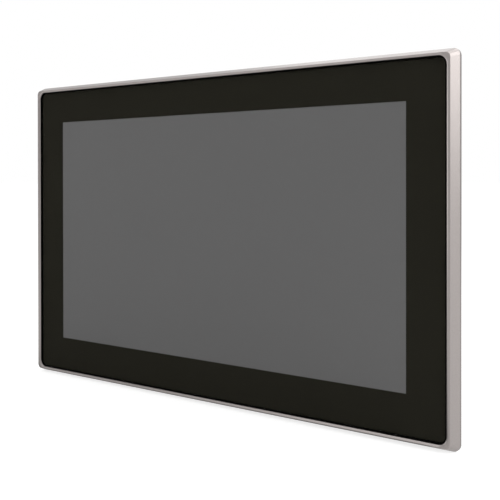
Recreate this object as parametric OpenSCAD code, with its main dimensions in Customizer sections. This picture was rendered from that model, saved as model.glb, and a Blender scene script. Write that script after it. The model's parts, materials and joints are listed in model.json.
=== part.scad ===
// Panel-mount touch display: a glass-fronted aluminium bezel, a folded steel housing behind it,
// a finned cast cover over the electronics and six screw clamps that hold it in a cabinet panel.
// X runs to the right, Y from the front glass to the back and Z up.
// The origin is the middle of the gasket face that seats on the cabinet panel.

/* [Screen] */
// Width of the lit area
screen_w = 344.2; // [338:0.2:348]
// Height of the lit area
screen_h = 193.6; // [188:0.2:197]

/* [Cover glass] */
// Width of the glass
glass_w = 403; // [401:0.5:404]
// Height of the glass
glass_h = 250; // [248:0.5:251]
// Radius of the glass corners
glass_r = 6; // [4:0.5:9]
// Thickness of the glass
glass_t = 1.8; // [1.2:0.1:2]
// How far the glass sits behind the front ridge of the bezel
glass_sink = 1; // [0.6:0.1:1.4]

/* [Bezel] */
// Overall width of the bezel
bezel_w = 415; // [413:0.5:420]
// Overall height of the bezel
bezel_h = 260; // [259:0.5:266]
// Thickness of the bezel in front of the gasket groove's face
bezel_d = 10.6; // [9.6:0.2:13]
// Radius of the outer corners at the rim
bezel_r = 4.8; // [3.5:0.1:7]
// Sideways run of the sloping flank
flank_run = 2.8; // [1:0.1:3.2]
// Depth of the straight rim behind the flank
rim_d = 2.6; // [1:0.1:3]
// Sideways run of the bevel that leads down to the glass
bevel_run = 1.2; // [0.6:0.1:1.4]

/* [Housing] */
// Width of the folded housing
housing_w = 386; // [384:0.5:388]
// Height of the folded housing
housing_h = 236; // [235:0.5:238]
// Depth of the housing behind the bezel
housing_d = 20.8; // [20:0.2:22]
// Thickness of the steel sheet
sheet_t = 1.5; // [1.2:0.1:1.8]
// Outside radius of the folds
fold_r = 2.5; // [2:0.1:4]

/* [Heat sink cover] */
// Width of the cast cover
cover_w = 270; // [268:1:280]
// Height of the cast cover
cover_h = 184; // [184:1:196]
// Depth of the cast cover without its fins
cover_d = 25; // [25:0.5:30]
// Number of fins
fin_count = 29; // [15:2:31]
// Distance from fin to fin
fin_pitch = 8; // [6:0.25:8]
// Height of the fins
fin_h = 12; // [8:1:20]
// Thickness of a fin at its root
fin_root = 3.2; // [2.4:0.1:4]
// Thickness of a fin at its tip
fin_tip = 2.2; // [1.4:0.1:2.4]

/* [Mounting] */
// Spacing of the four threaded bosses on the back
vesa_pitch = 100; // [75:25:100]
// Bore of the threaded bosses
vesa_bore = 3.3; // [3.2:0.1:3.4]
// Distance from clamp to clamp along an edge
clamp_pitch = 140; // [130:1:145]
// Distance from the housing wall to the clamp screw's axis
clamp_reach = 6.3; // [6.1:0.1:6.6]

/* [Hidden] */
$fn = 48;
clamps_per_edge = 3;
clamp_count = 2 * clamps_per_edge;
// How far a cutter runs past the face that it opens, or a solid into the one that it joins
past = 1;
press_gap = 0.05;
least_band_r = 0.5;

// Depths of the front stack
gasket_proud = 0.8;
print_t = 0.2;
sensor_t = 0.9;
tape_t = 2;
foam_t = 2;
rear_y = -gasket_proud;
front_y = rear_y - bezel_d;
flank_y = rear_y - rim_d;
glass_y = front_y + glass_sink;
print_y = glass_y + glass_t;
sensor_y = print_y + print_t;
ledge_y = sensor_y + tape_t;
foam_y = sensor_y + sensor_t;

// Bezel
glass_gap = 0.3;
rim_chamfer = 0.4;
ridge_w = bezel_w - 2 * flank_run;
ridge_h = bezel_h - 2 * flank_run;
ridge_r = bezel_r - flank_run;
pocket_w = glass_w + 2 * glass_gap;
pocket_h = glass_h + 2 * glass_gap;
pocket_r = glass_r + glass_gap;
glass_chamfer = 0.3;
spigot_gap = 0.2;
spigot_w = housing_w - 2 * (sheet_t + spigot_gap);
spigot_h = housing_h - 2 * (sheet_t + spigot_gap);
spigot_r = 2;
groove_w = 406;
groove_h = 254;
groove_r = 4;
groove_band = 5;
groove_d = 1.2;
gasket_slack = 0.2;
bead_band = 1.3;

// Display module
lcd_w = 363.8;
lcd_h = 215.9;
lcd_d = 10.8;
lcd_room = 2.1;
lcd_skin = 0.5;
lcd_fit = 0.2;
lcd_r = 1.5;
lcd_room_r = 2;
lcd_in_w = lcd_w - 2 * lcd_skin;
lcd_in_h = lcd_h - 2 * lcd_skin;
lcd_in_r = lcd_r - lcd_skin;
lcd_y = foam_y + foam_t;
lcd_rear_y = lcd_y + lcd_d;
lcd_window = 5.6;
cell_w = 358;
cell_h = 209;
cell_r = 0.6;
cell_t = 1.9;
film_inset = 1;
film_t = 1.2;
guide_t = 3.5;
cell_y = lcd_y + lcd_skin;
film_y = cell_y + cell_t;
guide_y = film_y + film_t;
back_y = guide_y + guide_t;
back_t = 1;
back_rear_y = back_y + back_t;
led_count = 44;
led_strip_t = 1;
led_bar_h = 2.4;
strap_x = 115;
strap_w = 20;
strap_r = 3;
strap_t = 1.5;
strap_bore_l = 5;
strap_z = (spigot_h + lcd_h + lcd_room) / 4;
timing_t = 1.2;
timing_header_h = 2.4;
timing_top = back_rear_y + timing_t;
touch_rise = 1.8;
touch_t = 1.2;
touch_y = back_rear_y + touch_rise;
touch_top = touch_y + touch_t;
touch_socket_h = 1.35;
touch_socket_x = [-39, -17];

// Fasteners
m3_r = 1.5;
m3_bore_r = 1.55;
m3_free_r = 1.7;
pan_head_r = 2.75;
pan_head_h = 2;
pan_shank = 5;
pan_side = 0.55;
pan_crown = 0.75;
screw_lead = 0.3;
screw_gap = 0.1;
screw_spare = 0.5;
flat_head_r = 2.6;
flat_head_h = 1.2;
flat_shank = 6.5;
cover_shank = 25.5;
nut_r = 3.5;
nut_h = 3;
earth_nut_r = 4;

// Housing
housing_y = rear_y + housing_d;
wall_in_y = housing_y - sheet_t;
wall_z = housing_h / 2;
housing_screw_x = [-165, -55, 55, 165];
housing_screw_z = [-70, 70];
housing_screw_y = (rear_y + lcd_rear_y) / 2;
vent_w = 3;
vent_l = 10;
vent_y = 12.5;
vent_step = 7;
vent_rows = 5;
rear_vent_x = 165;
rear_vent_l = 64;
rear_vent_step = 6.5;
rear_vent_count = 5;
earth_x = 168;
earth_z = -96;
cable_window_w = 44;
cable_window_h = 12;
cable_window_r = 2;
cable_window_z = 78;

// Electronics
standoff_h = 4;
standoff_x = 104;
standoff_z = [-58, 0, 58];
standoff_af = 5.5;
standoff_shank_r = 2;
board_y = housing_y + standoff_h;
board_t = 1.6;
board_top = board_y + board_t;
board_half_w = 112;
board_r = 3;
video_header_h = 3.5;
board_lo_z = -84;
board_hi_z = 66;
cpu_x = 10;
cpu_z = 6;
cpu_w = 35;
cpu_r = 1;
cpu_lid_w = 26;
cpu_lid_r = 2;
cpu_base_t = 1.2;
cpu_lid_t = 1.4;
pad_w = 28;
pad_r = 1;
pad_t = 1;
pedestal_w = 40;
pedestal_r = 3;
pedestal_y = board_top + cpu_base_t + cpu_lid_t + pad_t;
dimm_x = -63;
dimm_w = 67.6;
dimm_z = 27.5;
dimm_l = 30;
card_t = 1;
dimm_rise = 2.8;
dimm_y = board_top + dimm_rise;
ssd_x = 22;
ssd_l = 60;
ssd_w = 22;
ssd_z = 45;
ssd_rise = 2.6;
ssd_y = board_top + ssd_rise;
ssd_notch_r = 1.75;
ssd_nut_r = 2.9;
cell_battery_x = 76;
cell_battery_r = 10;
cell_battery_t = 3.2;
holder_floor = 1;

// Heat sink cover
cover_wall = 4;
cover_r = 8;
cover_chamfer = 2;
cover_y = housing_y + cover_d;
cover_in_y = cover_y - cover_wall;
fin_y = cover_y + fin_h;
fin_inset = 6;
fin_slope = 6;
fin_half_root = cover_h / 2 - fin_inset;
fin_half_tip = fin_half_root - fin_slope;
post_r = 6;
post_inset = 11;
post_x = cover_w / 2 - post_inset;
post_z = cover_h / 2 - post_inset;
post_seat_d = 3.5;
post_head_room = 0.45;
boss_r = 6.5;
boss_bore_l = 10;
bay_half_w = 116;

// Ports, all facing down
port_t = 1.5;
port_sunk = 0.5;
port_z = port_sunk - cover_h / 2;
port_in_z = port_z + port_t;
port_proud = 1;
port_face_z = port_z - port_proud;
lug_x = 111;
lug_half_w = 4.5;
lug_half_t = 3.5;
lug_y = cover_in_y - lug_half_t;
lug_h = 8;
power_x = -100;
power_rise = 6.6;
power_y = board_top + power_rise;
power_r = 4.5;
power_body_r = 6.4;
power_bore_r = 5;
power_stem = 4.1;
power_travel = 1;
reset_x = 97;
reset_rise = 3;
reset_y = board_top + reset_rise;
reset_r = 1;
reset_l = 7.3;
reset_sunk = 0.3;
reset_room = 0.4;
reset_guide = 0.35;
reset_travel = 0.5;
stop_gap = 0.4;
dc_x = -83.3;
dc_half_w = 9.5;
dc_h = 12;
dc_pitch = 5.08;
dc_pin_rise = 3.9;
dc_pin_y = board_top + dc_pin_rise;
com_x = [-57, -22.5];
com_half_w = 15.4;
com_h = 12.5;
com_y = board_top + com_h / 2;
dsub_w = 17;
dsub_h = 8.4;
dsub_slant = 1.5;
dsub_corner = 1.6;
dsub_skin = 0.5;
dsub_l = 6;
dsub_pitch = 2.77;
dsub_row = 1.42;
jack_x = 12.5;
jack_af = 4.8;
jack_l = 5;
jack_shank_r = 1.45;
jack_depth = 6;
jack_room = 0.15;
lan_x = [20, 39];
lan_half_w = 8;
lan_h = 13.5;
lan_l = 21;
usb_x = [60, 78];
usb_half_w = 6.6;
usb_h = 6.2;
usb_skin = 0.4;
usb_l = 14;
usb_mouth_l = 11.5;

// Clamps
clamp_z = wall_z + clamp_reach;
clamp_plate_t = 1.6;
clamp_half_w = 9;
clamp_y0 = 9;
clamp_y1 = 24;
nut_block_y0 = 14;
nut_block_y1 = 22;
nut_block_r = 4.4;
hook_half_w = 5;
hook_y = 11;
hook_t = 2;
hook_lip = 3;
hook_drop = 3.2;
hook_gap = 0.2;
hook_side_room = 0.5;
hook_end_room = 0.4;
foot_y = 8;
foot_t = 4;
foot_r = 4.2;
foot_cup = 1.8;
foot_chamfer = 0.4;
foot_bore_r = 1.6;
screw_r = 2;
screw_bore_r = 2.05;
screw_tip_r = 1.4;
screw_tip_gap = 0.1;
screw_head_y = 40;
screw_head_r = 3.5;
screw_head_h = 4;
screw_socket_af = 3;
screw_socket_d = 2.2;

// Radius of a hexagon that measures af across its flats
function hex_r(af) = af / sqrt(3);

// Box between two corners
module block(lo, hi) {
    translate(lo)
        cube(hi - lo);
}

// Rectangle with round corners, centred
module rounded_rect(w, h, r) {
    square([w - 2 * r, h], center = true);
    square([w, h - 2 * r], center = true);
    for (x = [-1, 1], z = [-1, 1])
        translate([x * (w / 2 - r), z * (h / 2 - r)])
            circle(r);
}

// Slot with round ends, standing upright
module slot(w, l) {
    square([w, l - w], center = true);
    for (z = [-1, 1])
        translate([0, z * (l - w) / 2])
            circle(d = w);
}

// Outline in X and Z drawn out from depth y0 to depth y1
module plate(y0, y1) {
    translate([0, y1, 0])
        rotate([90, 0, 0])
            linear_extrude(y1 - y0)
                children();
}

// Outline in Y and Z drawn out from x0 to x1
module side_plate(x0, x1) {
    translate([x0, 0, 0])
        rotate([90, 0, 90])
            linear_extrude(x1 - x0)
                children();
}

// Outline in X and Y drawn out from height z0 to height z1
module floor_plate(z0, z1) {
    translate([0, 0, z0])
        linear_extrude(z1 - z0)
            children();
}

// Round rod along Y
module rod(x, z, r, y0, y1) {
    translate([x, y0, z])
        rotate([-90, 0, 0])
            cylinder(h = y1 - y0, r = r);
}

// Turned piece along Y: the profile's first value is the radius, its second the depth
module turned(x, z) {
    translate([x, 0, z])
        rotate([-90, 0, 0])
            rotate_extrude()
                children();
}

// Rounded slab from y0 to y1
module slab(w, h, r, y0, y1) {
    plate(y0, y1)
        rounded_rect(w, h, r);
}

// Rounded band of even width from y0 to y1
module band(w, h, r, width, y0, y1) {
    plate(y0, y1)
        difference() {
            rounded_rect(w, h, r);
            rounded_rect(w - 2 * width, h - 2 * width, max(r - width, least_band_r));
        }
}

// Rounded slab whose four sides lean outward by grow between y0 and y1
module flared_slab(w, h, r, grow, y0, y1) {
    side_plate(r - w / 2, w / 2 - r)
        polygon([[y0, -h / 2], [y1, -h / 2 - grow], [y1, h / 2 + grow], [y0, h / 2]]);
    floor_plate(r - h / 2, h / 2 - r)
        polygon([[-w / 2, y0], [w / 2, y0], [w / 2 + grow, y1], [-w / 2 - grow, y1]]);
    for (x = [-1, 1], z = [-1, 1])
        translate([x * (w / 2 - r), y0, z * (h / 2 - r)])
            rotate([-90, 0, 0])
                cylinder(h = y1 - y0, r1 = r, r2 = r + grow);
}

// Cross-section of a folded sheet box: span wide, closed at y1 with round corners
module fold_profile(span, r, y0, y1) {
    translate([-span / 2, y0])
        square([span, y1 - y0 - r]);
    translate([r - span / 2, y0])
        square([span - 2 * r, y1 - y0]);
    for (x = [-1, 1])
        translate([x * (span / 2 - r), y1 - r])
            circle(r);
}

// Box with folded edges round its rear face
module folded_block(w, h, r, y0, y1) {
    intersection() {
        floor_plate(-h / 2, h / 2)
            fold_profile(w, r, y0, y1);
        side_plate(-w / 2, w / 2)
            mirror([1, -1, 0])
                fold_profile(h, r, y0, y1);
    }
}

// Pan-head screw pointing down from its head's seat at the origin
module pan_screw(shank) {
    rotate_extrude()
        polygon([
            [0, -shank], [m3_r - screw_lead, -shank], [m3_r, screw_lead - shank], [m3_r, 0],
            [pan_head_r, 0], [pan_head_r, pan_head_h * pan_side],
            [pan_head_r * pan_crown, pan_head_h], [0, pan_head_h]
        ]);
}

// Countersunk screw pointing down from the face that its head is level with
module flat_screw() {
    rotate_extrude()
        polygon([
            [0, -flat_shank], [m3_r - screw_lead, -flat_shank], [m3_r, screw_lead - flat_shank],
            [m3_r, -flat_head_h], [flat_head_r, 0], [0, 0]
        ]);
}

// Children at every housing screw, turned so that +Z leaves the wall
module at_housing_screws() {
    for (x = housing_screw_x, s = [-1, 1])
        translate([x, housing_screw_y, s * wall_z])
            rotate([s < 0 ? 180 : 0, 0, 0])
                children();
    for (z = housing_screw_z, s = [-1, 1])
        translate([s * housing_w / 2, housing_screw_y, z])
            rotate([0, s * 90, 0])
                children();
}

// Children at the six cover posts, with Y left as it is
module at_posts() {
    for (x = [-1, 1], z = [-1, 0, 1])
        translate([x * post_x, 0, z * post_z])
            children();
}

// Children at the six mainboard standoffs
module at_standoffs() {
    for (x = [-1, 1], z = standoff_z)
        translate([x * standoff_x, 0, z])
            children();
}

// Children at clamp i, drawn for the top edge and turned over for the bottom edge
module at_clamp(i) {
    translate([((i - 1) % clamps_per_edge - (clamps_per_edge - 1) / 2) * clamp_pitch, 0, 0])
        rotate([0, i > clamps_per_edge ? 180 : 0, 0])
            children();
}

// Front

module front_bezel() {
    color("silver")
        difference() {
            union() {
                flared_slab(ridge_w, ridge_h, ridge_r, flank_run, front_y, flank_y);
                slab(bezel_w, bezel_h, bezel_r, flank_y, rear_y - rim_chamfer);
                flared_slab(bezel_w, bezel_h, bezel_r, -rim_chamfer, rear_y - rim_chamfer, rear_y);
                slab(spigot_w, spigot_h, spigot_r, rear_y, lcd_rear_y);
            }
            flared_slab(pocket_w + 2 * bevel_run, pocket_h + 2 * bevel_run, pocket_r + bevel_run,
                        -bevel_run, front_y, glass_y);
            slab(pocket_w, pocket_h, pocket_r, front_y, ledge_y);
            slab(lcd_w + 2 * lcd_room, lcd_h + lcd_room, lcd_room_r, front_y, lcd_rear_y + past);
            band(groove_w, groove_h, groove_r, groove_band, rear_y - groove_d, rear_y + past);
            for (x = [-strap_x, strap_x], z = [-strap_z, strap_z])
                rod(x, z, m3_bore_r, lcd_rear_y - strap_bore_l, lcd_rear_y + past);
            at_housing_screws()
                translate([0, 0, -flat_shank - screw_spare])
                    cylinder(h = flat_shank + screw_spare + past, r = m3_bore_r);
        }
}

module cover_glass() {
    color("lightcyan", 0.5) {
        flared_slab(glass_w - 2 * glass_chamfer, glass_h - 2 * glass_chamfer, glass_r - glass_chamfer,
                    glass_chamfer, glass_y, glass_y + glass_chamfer);
        slab(glass_w, glass_h, glass_r, glass_y + glass_chamfer, print_y);
    }
}

module border_print() {
    inset = 0.3;
    window_gap = 0.5;
    color([0.13, 0.13, 0.11])
        plate(print_y, sensor_y)
            difference() {
                rounded_rect(glass_w - 2 * inset, glass_h - 2 * inset, glass_r - inset);
                square([screen_w + 2 * window_gap, screen_h + 2 * window_gap], center = true);
            }
}

module touch_sensor() {
    w = 380;
    h = 228;
    r = 2;
    window_gap = 0.3;
    color("slategray", 0.4) {
        slab(w, h, r, sensor_y, foam_y);
        plate(print_y, sensor_y)
            square([screen_w + 2 * window_gap, screen_h + 2 * window_gap], center = true);
    }
}

module glass_tape() {
    inset = 1;
    width = 8.5;
    color("dimgray")
        band(glass_w - 2 * inset, glass_h - 2 * inset, glass_r - inset, width, sensor_y, ledge_y);
}

module dust_seal() {
    outer_w = 362;
    outer_h = 213;
    outer_r = 1.5;
    width = 5.5;
    color([0.1, 0.1, 0.1])
        band(outer_w, outer_h, outer_r, width, foam_y, lcd_y);
}

// Flat sealing ring in the bezel's groove, with two beads that meet the cabinet panel
module panel_gasket() {
    w = groove_w - 2 * gasket_slack;
    h = groove_h - 2 * gasket_slack;
    r = groove_r - gasket_slack;
    width = groove_band - 2 * gasket_slack;
    web_proud = 0.2;
    bead_y = rear_y + web_proud;
    step = width - bead_band;
    least_r = 1;
    color([0.12, 0.12, 0.12]) {
        band(w, h, r, width, rear_y - groove_d, bead_y);
        band(w, h, r, bead_band, bead_y, 0);
        band(w - 2 * step, h - 2 * step, max(r - step, least_r), bead_band, bead_y, 0);
    }
}

// Display module

module lcd_frame() {
    frame_d = 7;
    color("lightsteelblue")
        difference() {
            slab(lcd_w, lcd_h, lcd_r, lcd_y, lcd_y + frame_d);
            slab(lcd_in_w, lcd_in_h, lcd_in_r, cell_y, lcd_y + frame_d + past);
            slab(screen_w + lcd_window, screen_h + lcd_window, lcd_in_r, lcd_y - past, cell_y + past);
        }
}

module lcd_cell() {
    color([0.38, 0.38, 0.38])
        slab(cell_w, cell_h, cell_r, cell_y, film_y);
}

module lcd_carrier() {
    color("whitesmoke")
        plate(cell_y, back_y)
            difference() {
                rounded_rect(lcd_in_w - lcd_fit, lcd_in_h - lcd_fit, lcd_in_r - lcd_fit / 2);
                square([cell_w + lcd_fit, cell_h + lcd_fit], center = true);
            }
}

module optical_films() {
    color("white", 0.8)
        slab(cell_w - 2 * film_inset, cell_h - 2 * film_inset, cell_r, film_y, guide_y);
}

module light_guide() {
    lamp_gap = 0.6;
    half_w = cell_w / 2 - film_inset;
    lo_z = led_bar_h + lamp_gap - cell_h / 2;
    color("aliceblue", 0.7)
        block([-half_w, guide_y, lo_z], [half_w, back_y, cell_h / 2 - film_inset]);
}

// Row of side-firing lamps on a narrow strip below the light guide
module led_bar() {
    end_gap = 2;
    half_w = cell_w / 2 - end_gap;
    step = 2 * half_w / led_count;
    strip_inset = 0.1;
    lamp_inset = 0.5;
    lamp_w = 4;
    rise = 0.2;
    lo_z = rise - cell_h / 2;
    strip_z = lo_z + led_strip_t;
    color("khaki") {
        block([-half_w, guide_y + strip_inset, lo_z], [half_w, back_y - strip_inset, strip_z]);
        for (i = [0 : led_count - 1])
            translate([(i + 0.5) * step - half_w, 0, 0])
                block([-lamp_w / 2, guide_y + lamp_inset, strip_z],
                      [lamp_w / 2, back_y - lamp_inset, lo_z + led_bar_h]);
    }
}

// Steel back of the display with two raised ribs that the straps press on
module lcd_back_plate() {
    rib_w = 26;
    rib_h = 170;
    rib_r = 4;
    color("gainsboro") {
        slab(lcd_in_w - lcd_fit, lcd_in_h - lcd_fit, lcd_in_r - lcd_fit / 2, back_y, back_rear_y);
        for (x = [-strap_x, strap_x])
            translate([x, 0, 0])
                slab(rib_w, rib_h, rib_r, back_rear_y, lcd_rear_y);
    }
}

module timing_board() {
    half_w = 90;
    board_z = [82, 104];
    header_half_w = 17;
    header_z = [88, 95];
    chip_x = [-62, 48];
    chip_z = [87, 99];
    chip_w = 14;
    chip_h = 1.2;
    color("darkgreen") {
        block([-half_w, back_rear_y, board_z[0]], [half_w, timing_top, board_z[1]]);
        block([-header_half_w, timing_top, header_z[0]],
              [header_half_w, timing_top + timing_header_h, header_z[1]]);
        for (x = chip_x)
            block([x, timing_top, chip_z[0]], [x + chip_w, timing_top + chip_h, chip_z[1]]);
    }
}

module lcd_straps() {
    end_gap = 1;
    rear = lcd_rear_y + strap_t;
    color("silver")
        for (x = [-strap_x, strap_x])
            translate([x, 0, 0])
                difference() {
                    slab(strap_w, spigot_h - 2 * end_gap, strap_r, lcd_rear_y, rear);
                    for (z = [-strap_z, strap_z])
                        rod(0, z, m3_free_r, lcd_rear_y - past, rear + past);
                }
}

// Touch electronics and cables

module touch_board() {
    board_x = [-57, 7];
    board_z = [-98, -72];
    socket_z = [-97, -91];
    chip_x = [-30, -20];
    chip_z = [-86, -76];
    chip_h = 1;
    peg_r = 2;
    peg_in = 4;
    color("seagreen") {
        block([board_x[0], touch_y, board_z[0]], [board_x[1], touch_top, board_z[1]]);
        block([touch_socket_x[0], touch_top, socket_z[0]],
              [touch_socket_x[1], touch_top + touch_socket_h, socket_z[1]]);
        block([chip_x[0], touch_top, chip_z[0]], [chip_x[1], touch_top + chip_h, chip_z[1]]);
        for (x = [board_x[0] + peg_in, board_x[1] - peg_in], z = [board_z[0] + peg_in, board_z[1] - peg_in])
            rod(x, z, peg_r, back_rear_y, touch_y);
    }
}

// Ribbon from the lower edge of the sensor round the display to its board
module touch_flex() {
    t = 0.25;
    side_gap = 2;
    end_z = -92;
    z0 = -(lcd_h / 2 + lcd_room / 4 + t / 2);
    top = touch_top + touch_socket_h;
    color("orange")
        side_plate(touch_socket_x[0] + side_gap, touch_socket_x[1] - side_gap)
            polygon([
                [foam_y, z0], [top + t, z0], [top + t, end_z], [top, end_z], [top, z0 + t], [foam_y, z0 + t]
            ]);
}

// Flat cable from the timing board through the housing wall to the mainboard header
module display_cable() {
    t = 1;
    half_w = 13;
    start_y = timing_top + timing_header_h;
    start_z = 91;
    turn_y = 13;
    end_y = board_top + video_header_h;
    end_z = 60;
    z0 = cable_window_z;
    color("darkslateblue")
        side_plate(-half_w, half_w)
            polygon([
                [start_y, start_z], [turn_y, start_z], [turn_y, z0], [end_y, z0], [end_y, end_z],
                [end_y + t, end_z], [end_y + t, z0 + t], [turn_y + t, z0 + t],
                [turn_y + t, start_z + t], [start_y, start_z + t]
            ]);
}

// Housing

// Slots in the rear wall beside the cover
module rear_vents() {
    for (s = [-1, 1], i = [0 : rear_vent_count - 1])
        translate([s * rear_vent_x + (i - (rear_vent_count - 1) / 2) * rear_vent_step, 0])
            slot(vent_w, rear_vent_l);
}

// Slots in the top and bottom walls between the clamps
module edge_vents() {
    for (s = [-1, 1], i = [-vent_rows : vent_rows])
        translate([s * clamp_pitch / 2 + i * vent_step, vent_y])
            slot(vent_w, vent_l);
}

module rear_housing() {
    color("lightgray")
        difference() {
            folded_block(housing_w, housing_h, fold_r, rear_y, housing_y);
            folded_block(housing_w - 2 * sheet_t, housing_h - 2 * sheet_t, fold_r - sheet_t,
                         rear_y - past, wall_in_y);
            floor_plate(-wall_z - past, wall_z + past)
                edge_vents();
            plate(wall_in_y - past, housing_y + past)
                union() {
                    rear_vents();
                    translate([0, cable_window_z])
                        rounded_rect(cable_window_w, cable_window_h, cable_window_r);
                }
            at_housing_screws() {
                translate([0, 0, -sheet_t - past])
                    cylinder(h = sheet_t + 2 * past, r = m3_r + screw_gap);
                translate([0, 0, -flat_head_h])
                    cylinder(h = flat_head_h, r1 = m3_r, r2 = flat_head_r + screw_gap);
            }
            at_posts()
                rod(0, 0, m3_free_r, wall_in_y - past, housing_y + past);
            at_standoffs()
                rod(0, 0, standoff_shank_r + press_gap, wall_in_y - past, housing_y + past);
            rod(earth_x, earth_z, screw_r + screw_gap, wall_in_y - past, housing_y + past);
            for (i = [1 : clamp_count])
                at_clamp(i)
                    block([-hook_half_w - hook_side_room, hook_y - hook_end_room, wall_z - sheet_t - past],
                          [hook_half_w + hook_side_room, hook_y + hook_t + hook_lip + hook_end_room,
                           wall_z + past]);
        }
}

module housing_screws() {
    color("gray")
        at_housing_screws()
            flat_screw();
}

// Nuts pressed into the inside of the rear wall
module press_nuts() {
    color("silver") {
        at_posts()
            difference() {
                rod(0, 0, nut_r, wall_in_y - nut_h, wall_in_y);
                rod(0, 0, m3_bore_r, wall_in_y - nut_h - past, wall_in_y + past);
            }
        difference() {
            rod(earth_x, earth_z, earth_nut_r, wall_in_y - nut_h, wall_in_y);
            rod(earth_x, earth_z, screw_bore_r, wall_in_y - nut_h - past, wall_in_y + past);
        }
    }
}

// Earth terminal: a pan-head screw with a captive washer
module earth_screw() {
    washer_r = 4.6;
    washer_t = 0.8;
    head_r = 3.8;
    head_h = 2.6;
    side = 0.6;
    crown = 0.7;
    shank = 7;
    seat = housing_y + washer_t;
    color("goldenrod")
        turned(earth_x, earth_z)
            polygon([
                [0, housing_y - shank], [screw_r, housing_y - shank], [screw_r, housing_y],
                [washer_r, housing_y], [washer_r, seat], [head_r, seat], [head_r, seat + head_h * side],
                [head_r * crown, seat + head_h], [0, seat + head_h]
            ]);
}

// Electronics

module mainboard() {
    header_half_w = 16;
    header_z = [57, 64];
    color("darkgreen")
        difference() {
            union() {
                plate(board_y, board_top)
                    translate([0, (board_lo_z + board_hi_z) / 2])
                        rounded_rect(2 * board_half_w, board_hi_z - board_lo_z, board_r);
                block([-header_half_w, board_top, header_z[0]],
                      [header_half_w, board_top + video_header_h, header_z[1]]);
                rod(ssd_x + ssd_l, ssd_z, ssd_nut_r, board_top, ssd_y);
            }
            at_standoffs()
                rod(0, 0, m3_free_r, board_y - past, board_top + past);
            rod(ssd_x + ssd_l, ssd_z, m3_bore_r, board_y - past, ssd_y + past);
        }
}

module board_standoffs() {
    color("goldenrod")
        at_standoffs()
            difference() {
                union() {
                    translate([0, housing_y, 0])
                        rotate([-90, 0, 0])
                            cylinder(h = standoff_h, r = hex_r(standoff_af), $fn = 6);
                    rod(0, 0, standoff_shank_r, wall_in_y, housing_y);
                }
                rod(0, 0, m3_bore_r, wall_in_y - past, board_y + past);
            }
}

// Pan-head screws of the straps, the mainboard, the storage card and the port plate
module pan_screws() {
    color("silver") {
        for (x = [-strap_x, strap_x], z = [-strap_z, strap_z])
            translate([x, lcd_rear_y + strap_t, z])
                rotate([-90, 0, 0])
                    pan_screw(pan_shank);
        at_standoffs()
            translate([0, board_top, 0])
                rotate([-90, 0, 0])
                    pan_screw(pan_shank);
        translate([ssd_x + ssd_l, ssd_y + card_t, ssd_z])
            rotate([-90, 0, 0])
                pan_screw(pan_shank);
        for (x = [-lug_x, lug_x])
            translate([x, lug_y, port_z])
                rotate([180, 0, 0])
                    pan_screw(pan_shank);
    }
}

module processor() {
    color("darkgray")
        translate([cpu_x, 0, cpu_z]) {
            slab(cpu_w, cpu_w, cpu_r, board_top, board_top + cpu_base_t);
            slab(cpu_lid_w, cpu_lid_w, cpu_lid_r, board_top + cpu_base_t, board_top + cpu_base_t + cpu_lid_t);
        }
}

module thermal_pad() {
    color("pink")
        translate([cpu_x, 0, cpu_z])
            slab(pad_w, pad_w, pad_r, pedestal_y - pad_t, pedestal_y);
}

// Edge sockets of the memory and storage cards
module card_sockets() {
    slack = 0.1;
    bar_half_w = 37;
    bar_h = 5.2;
    bar_z = [24, 32];
    arm_x = 36;
    arm_half_w = 1;
    arm_h = 4.6;
    arm_short = 4;
    arm_z = dimm_z - dimm_l + arm_short;
    slot_half_l = 4;
    slot_half_w = 12;
    slot_h = 4.4;
    color("ivory") {
        difference() {
            union() {
                block([dimm_x - bar_half_w, board_top, bar_z[0]],
                      [dimm_x + bar_half_w, board_top + bar_h, bar_z[1]]);
                for (s = [-1, 1])
                    translate([dimm_x + s * arm_x, 0, 0])
                        block([-arm_half_w, board_top, arm_z], [arm_half_w, board_top + arm_h, bar_z[0]]);
            }
            block([dimm_x - dimm_w / 2 - slack, dimm_y - slack, bar_z[0] - past],
                  [dimm_x + dimm_w / 2 + slack, dimm_y + card_t + slack, dimm_z + slack]);
        }
        difference() {
            block([ssd_x - slot_half_l, board_top, ssd_z - slot_half_w],
                  [ssd_x + slot_half_l, board_top + slot_h, ssd_z + slot_half_w]);
            block([ssd_x - slack, ssd_y - slack, ssd_z - ssd_w / 2 - slack],
                  [ssd_x + slot_half_l + past, ssd_y + card_t + slack, ssd_z + ssd_w / 2 + slack]);
        }
    }
}

module memory_module() {
    chip_count = 4;
    chip_pitch = 15;
    chip_w = 9;
    chip_h = 12;
    chip_t = 1;
    chip_z = 6;
    color("green") {
        block([dimm_x - dimm_w / 2, dimm_y, dimm_z - dimm_l], [dimm_x + dimm_w / 2, dimm_y + card_t, dimm_z]);
        for (i = [0 : chip_count - 1])
            translate([dimm_x + (i - (chip_count - 1) / 2) * chip_pitch, dimm_y + card_t, chip_z])
                block([-chip_w / 2, 0, -chip_h / 2], [chip_w / 2, chip_t, chip_h / 2]);
    }
}

module storage_module() {
    chip_x = [32, 52];
    chip_l = 14;
    chip_half_w = 8;
    chip_t = 1.2;
    top = ssd_y + card_t;
    color("teal") {
        plate(ssd_y, top)
            difference() {
                translate([ssd_x, ssd_z - ssd_w / 2])
                    square([ssd_l, ssd_w]);
                translate([ssd_x + ssd_l, ssd_z])
                    circle(ssd_notch_r);
            }
        for (x = chip_x)
            block([x, top, ssd_z - chip_half_w], [x + chip_l, top + chip_t, ssd_z + chip_half_w]);
    }
}

module coin_cell() {
    base = board_top + holder_floor;
    step = 1.2;
    lead = 0.2;
    rise = 0.4;
    color("silver")
        turned(cell_battery_x, 0)
            polygon([
                [0, base], [cell_battery_r - step - lead, base], [cell_battery_r - step, base + rise],
                [cell_battery_r, base + rise], [cell_battery_r, base + cell_battery_t],
                [0, base + cell_battery_t]
            ]);
}

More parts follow.
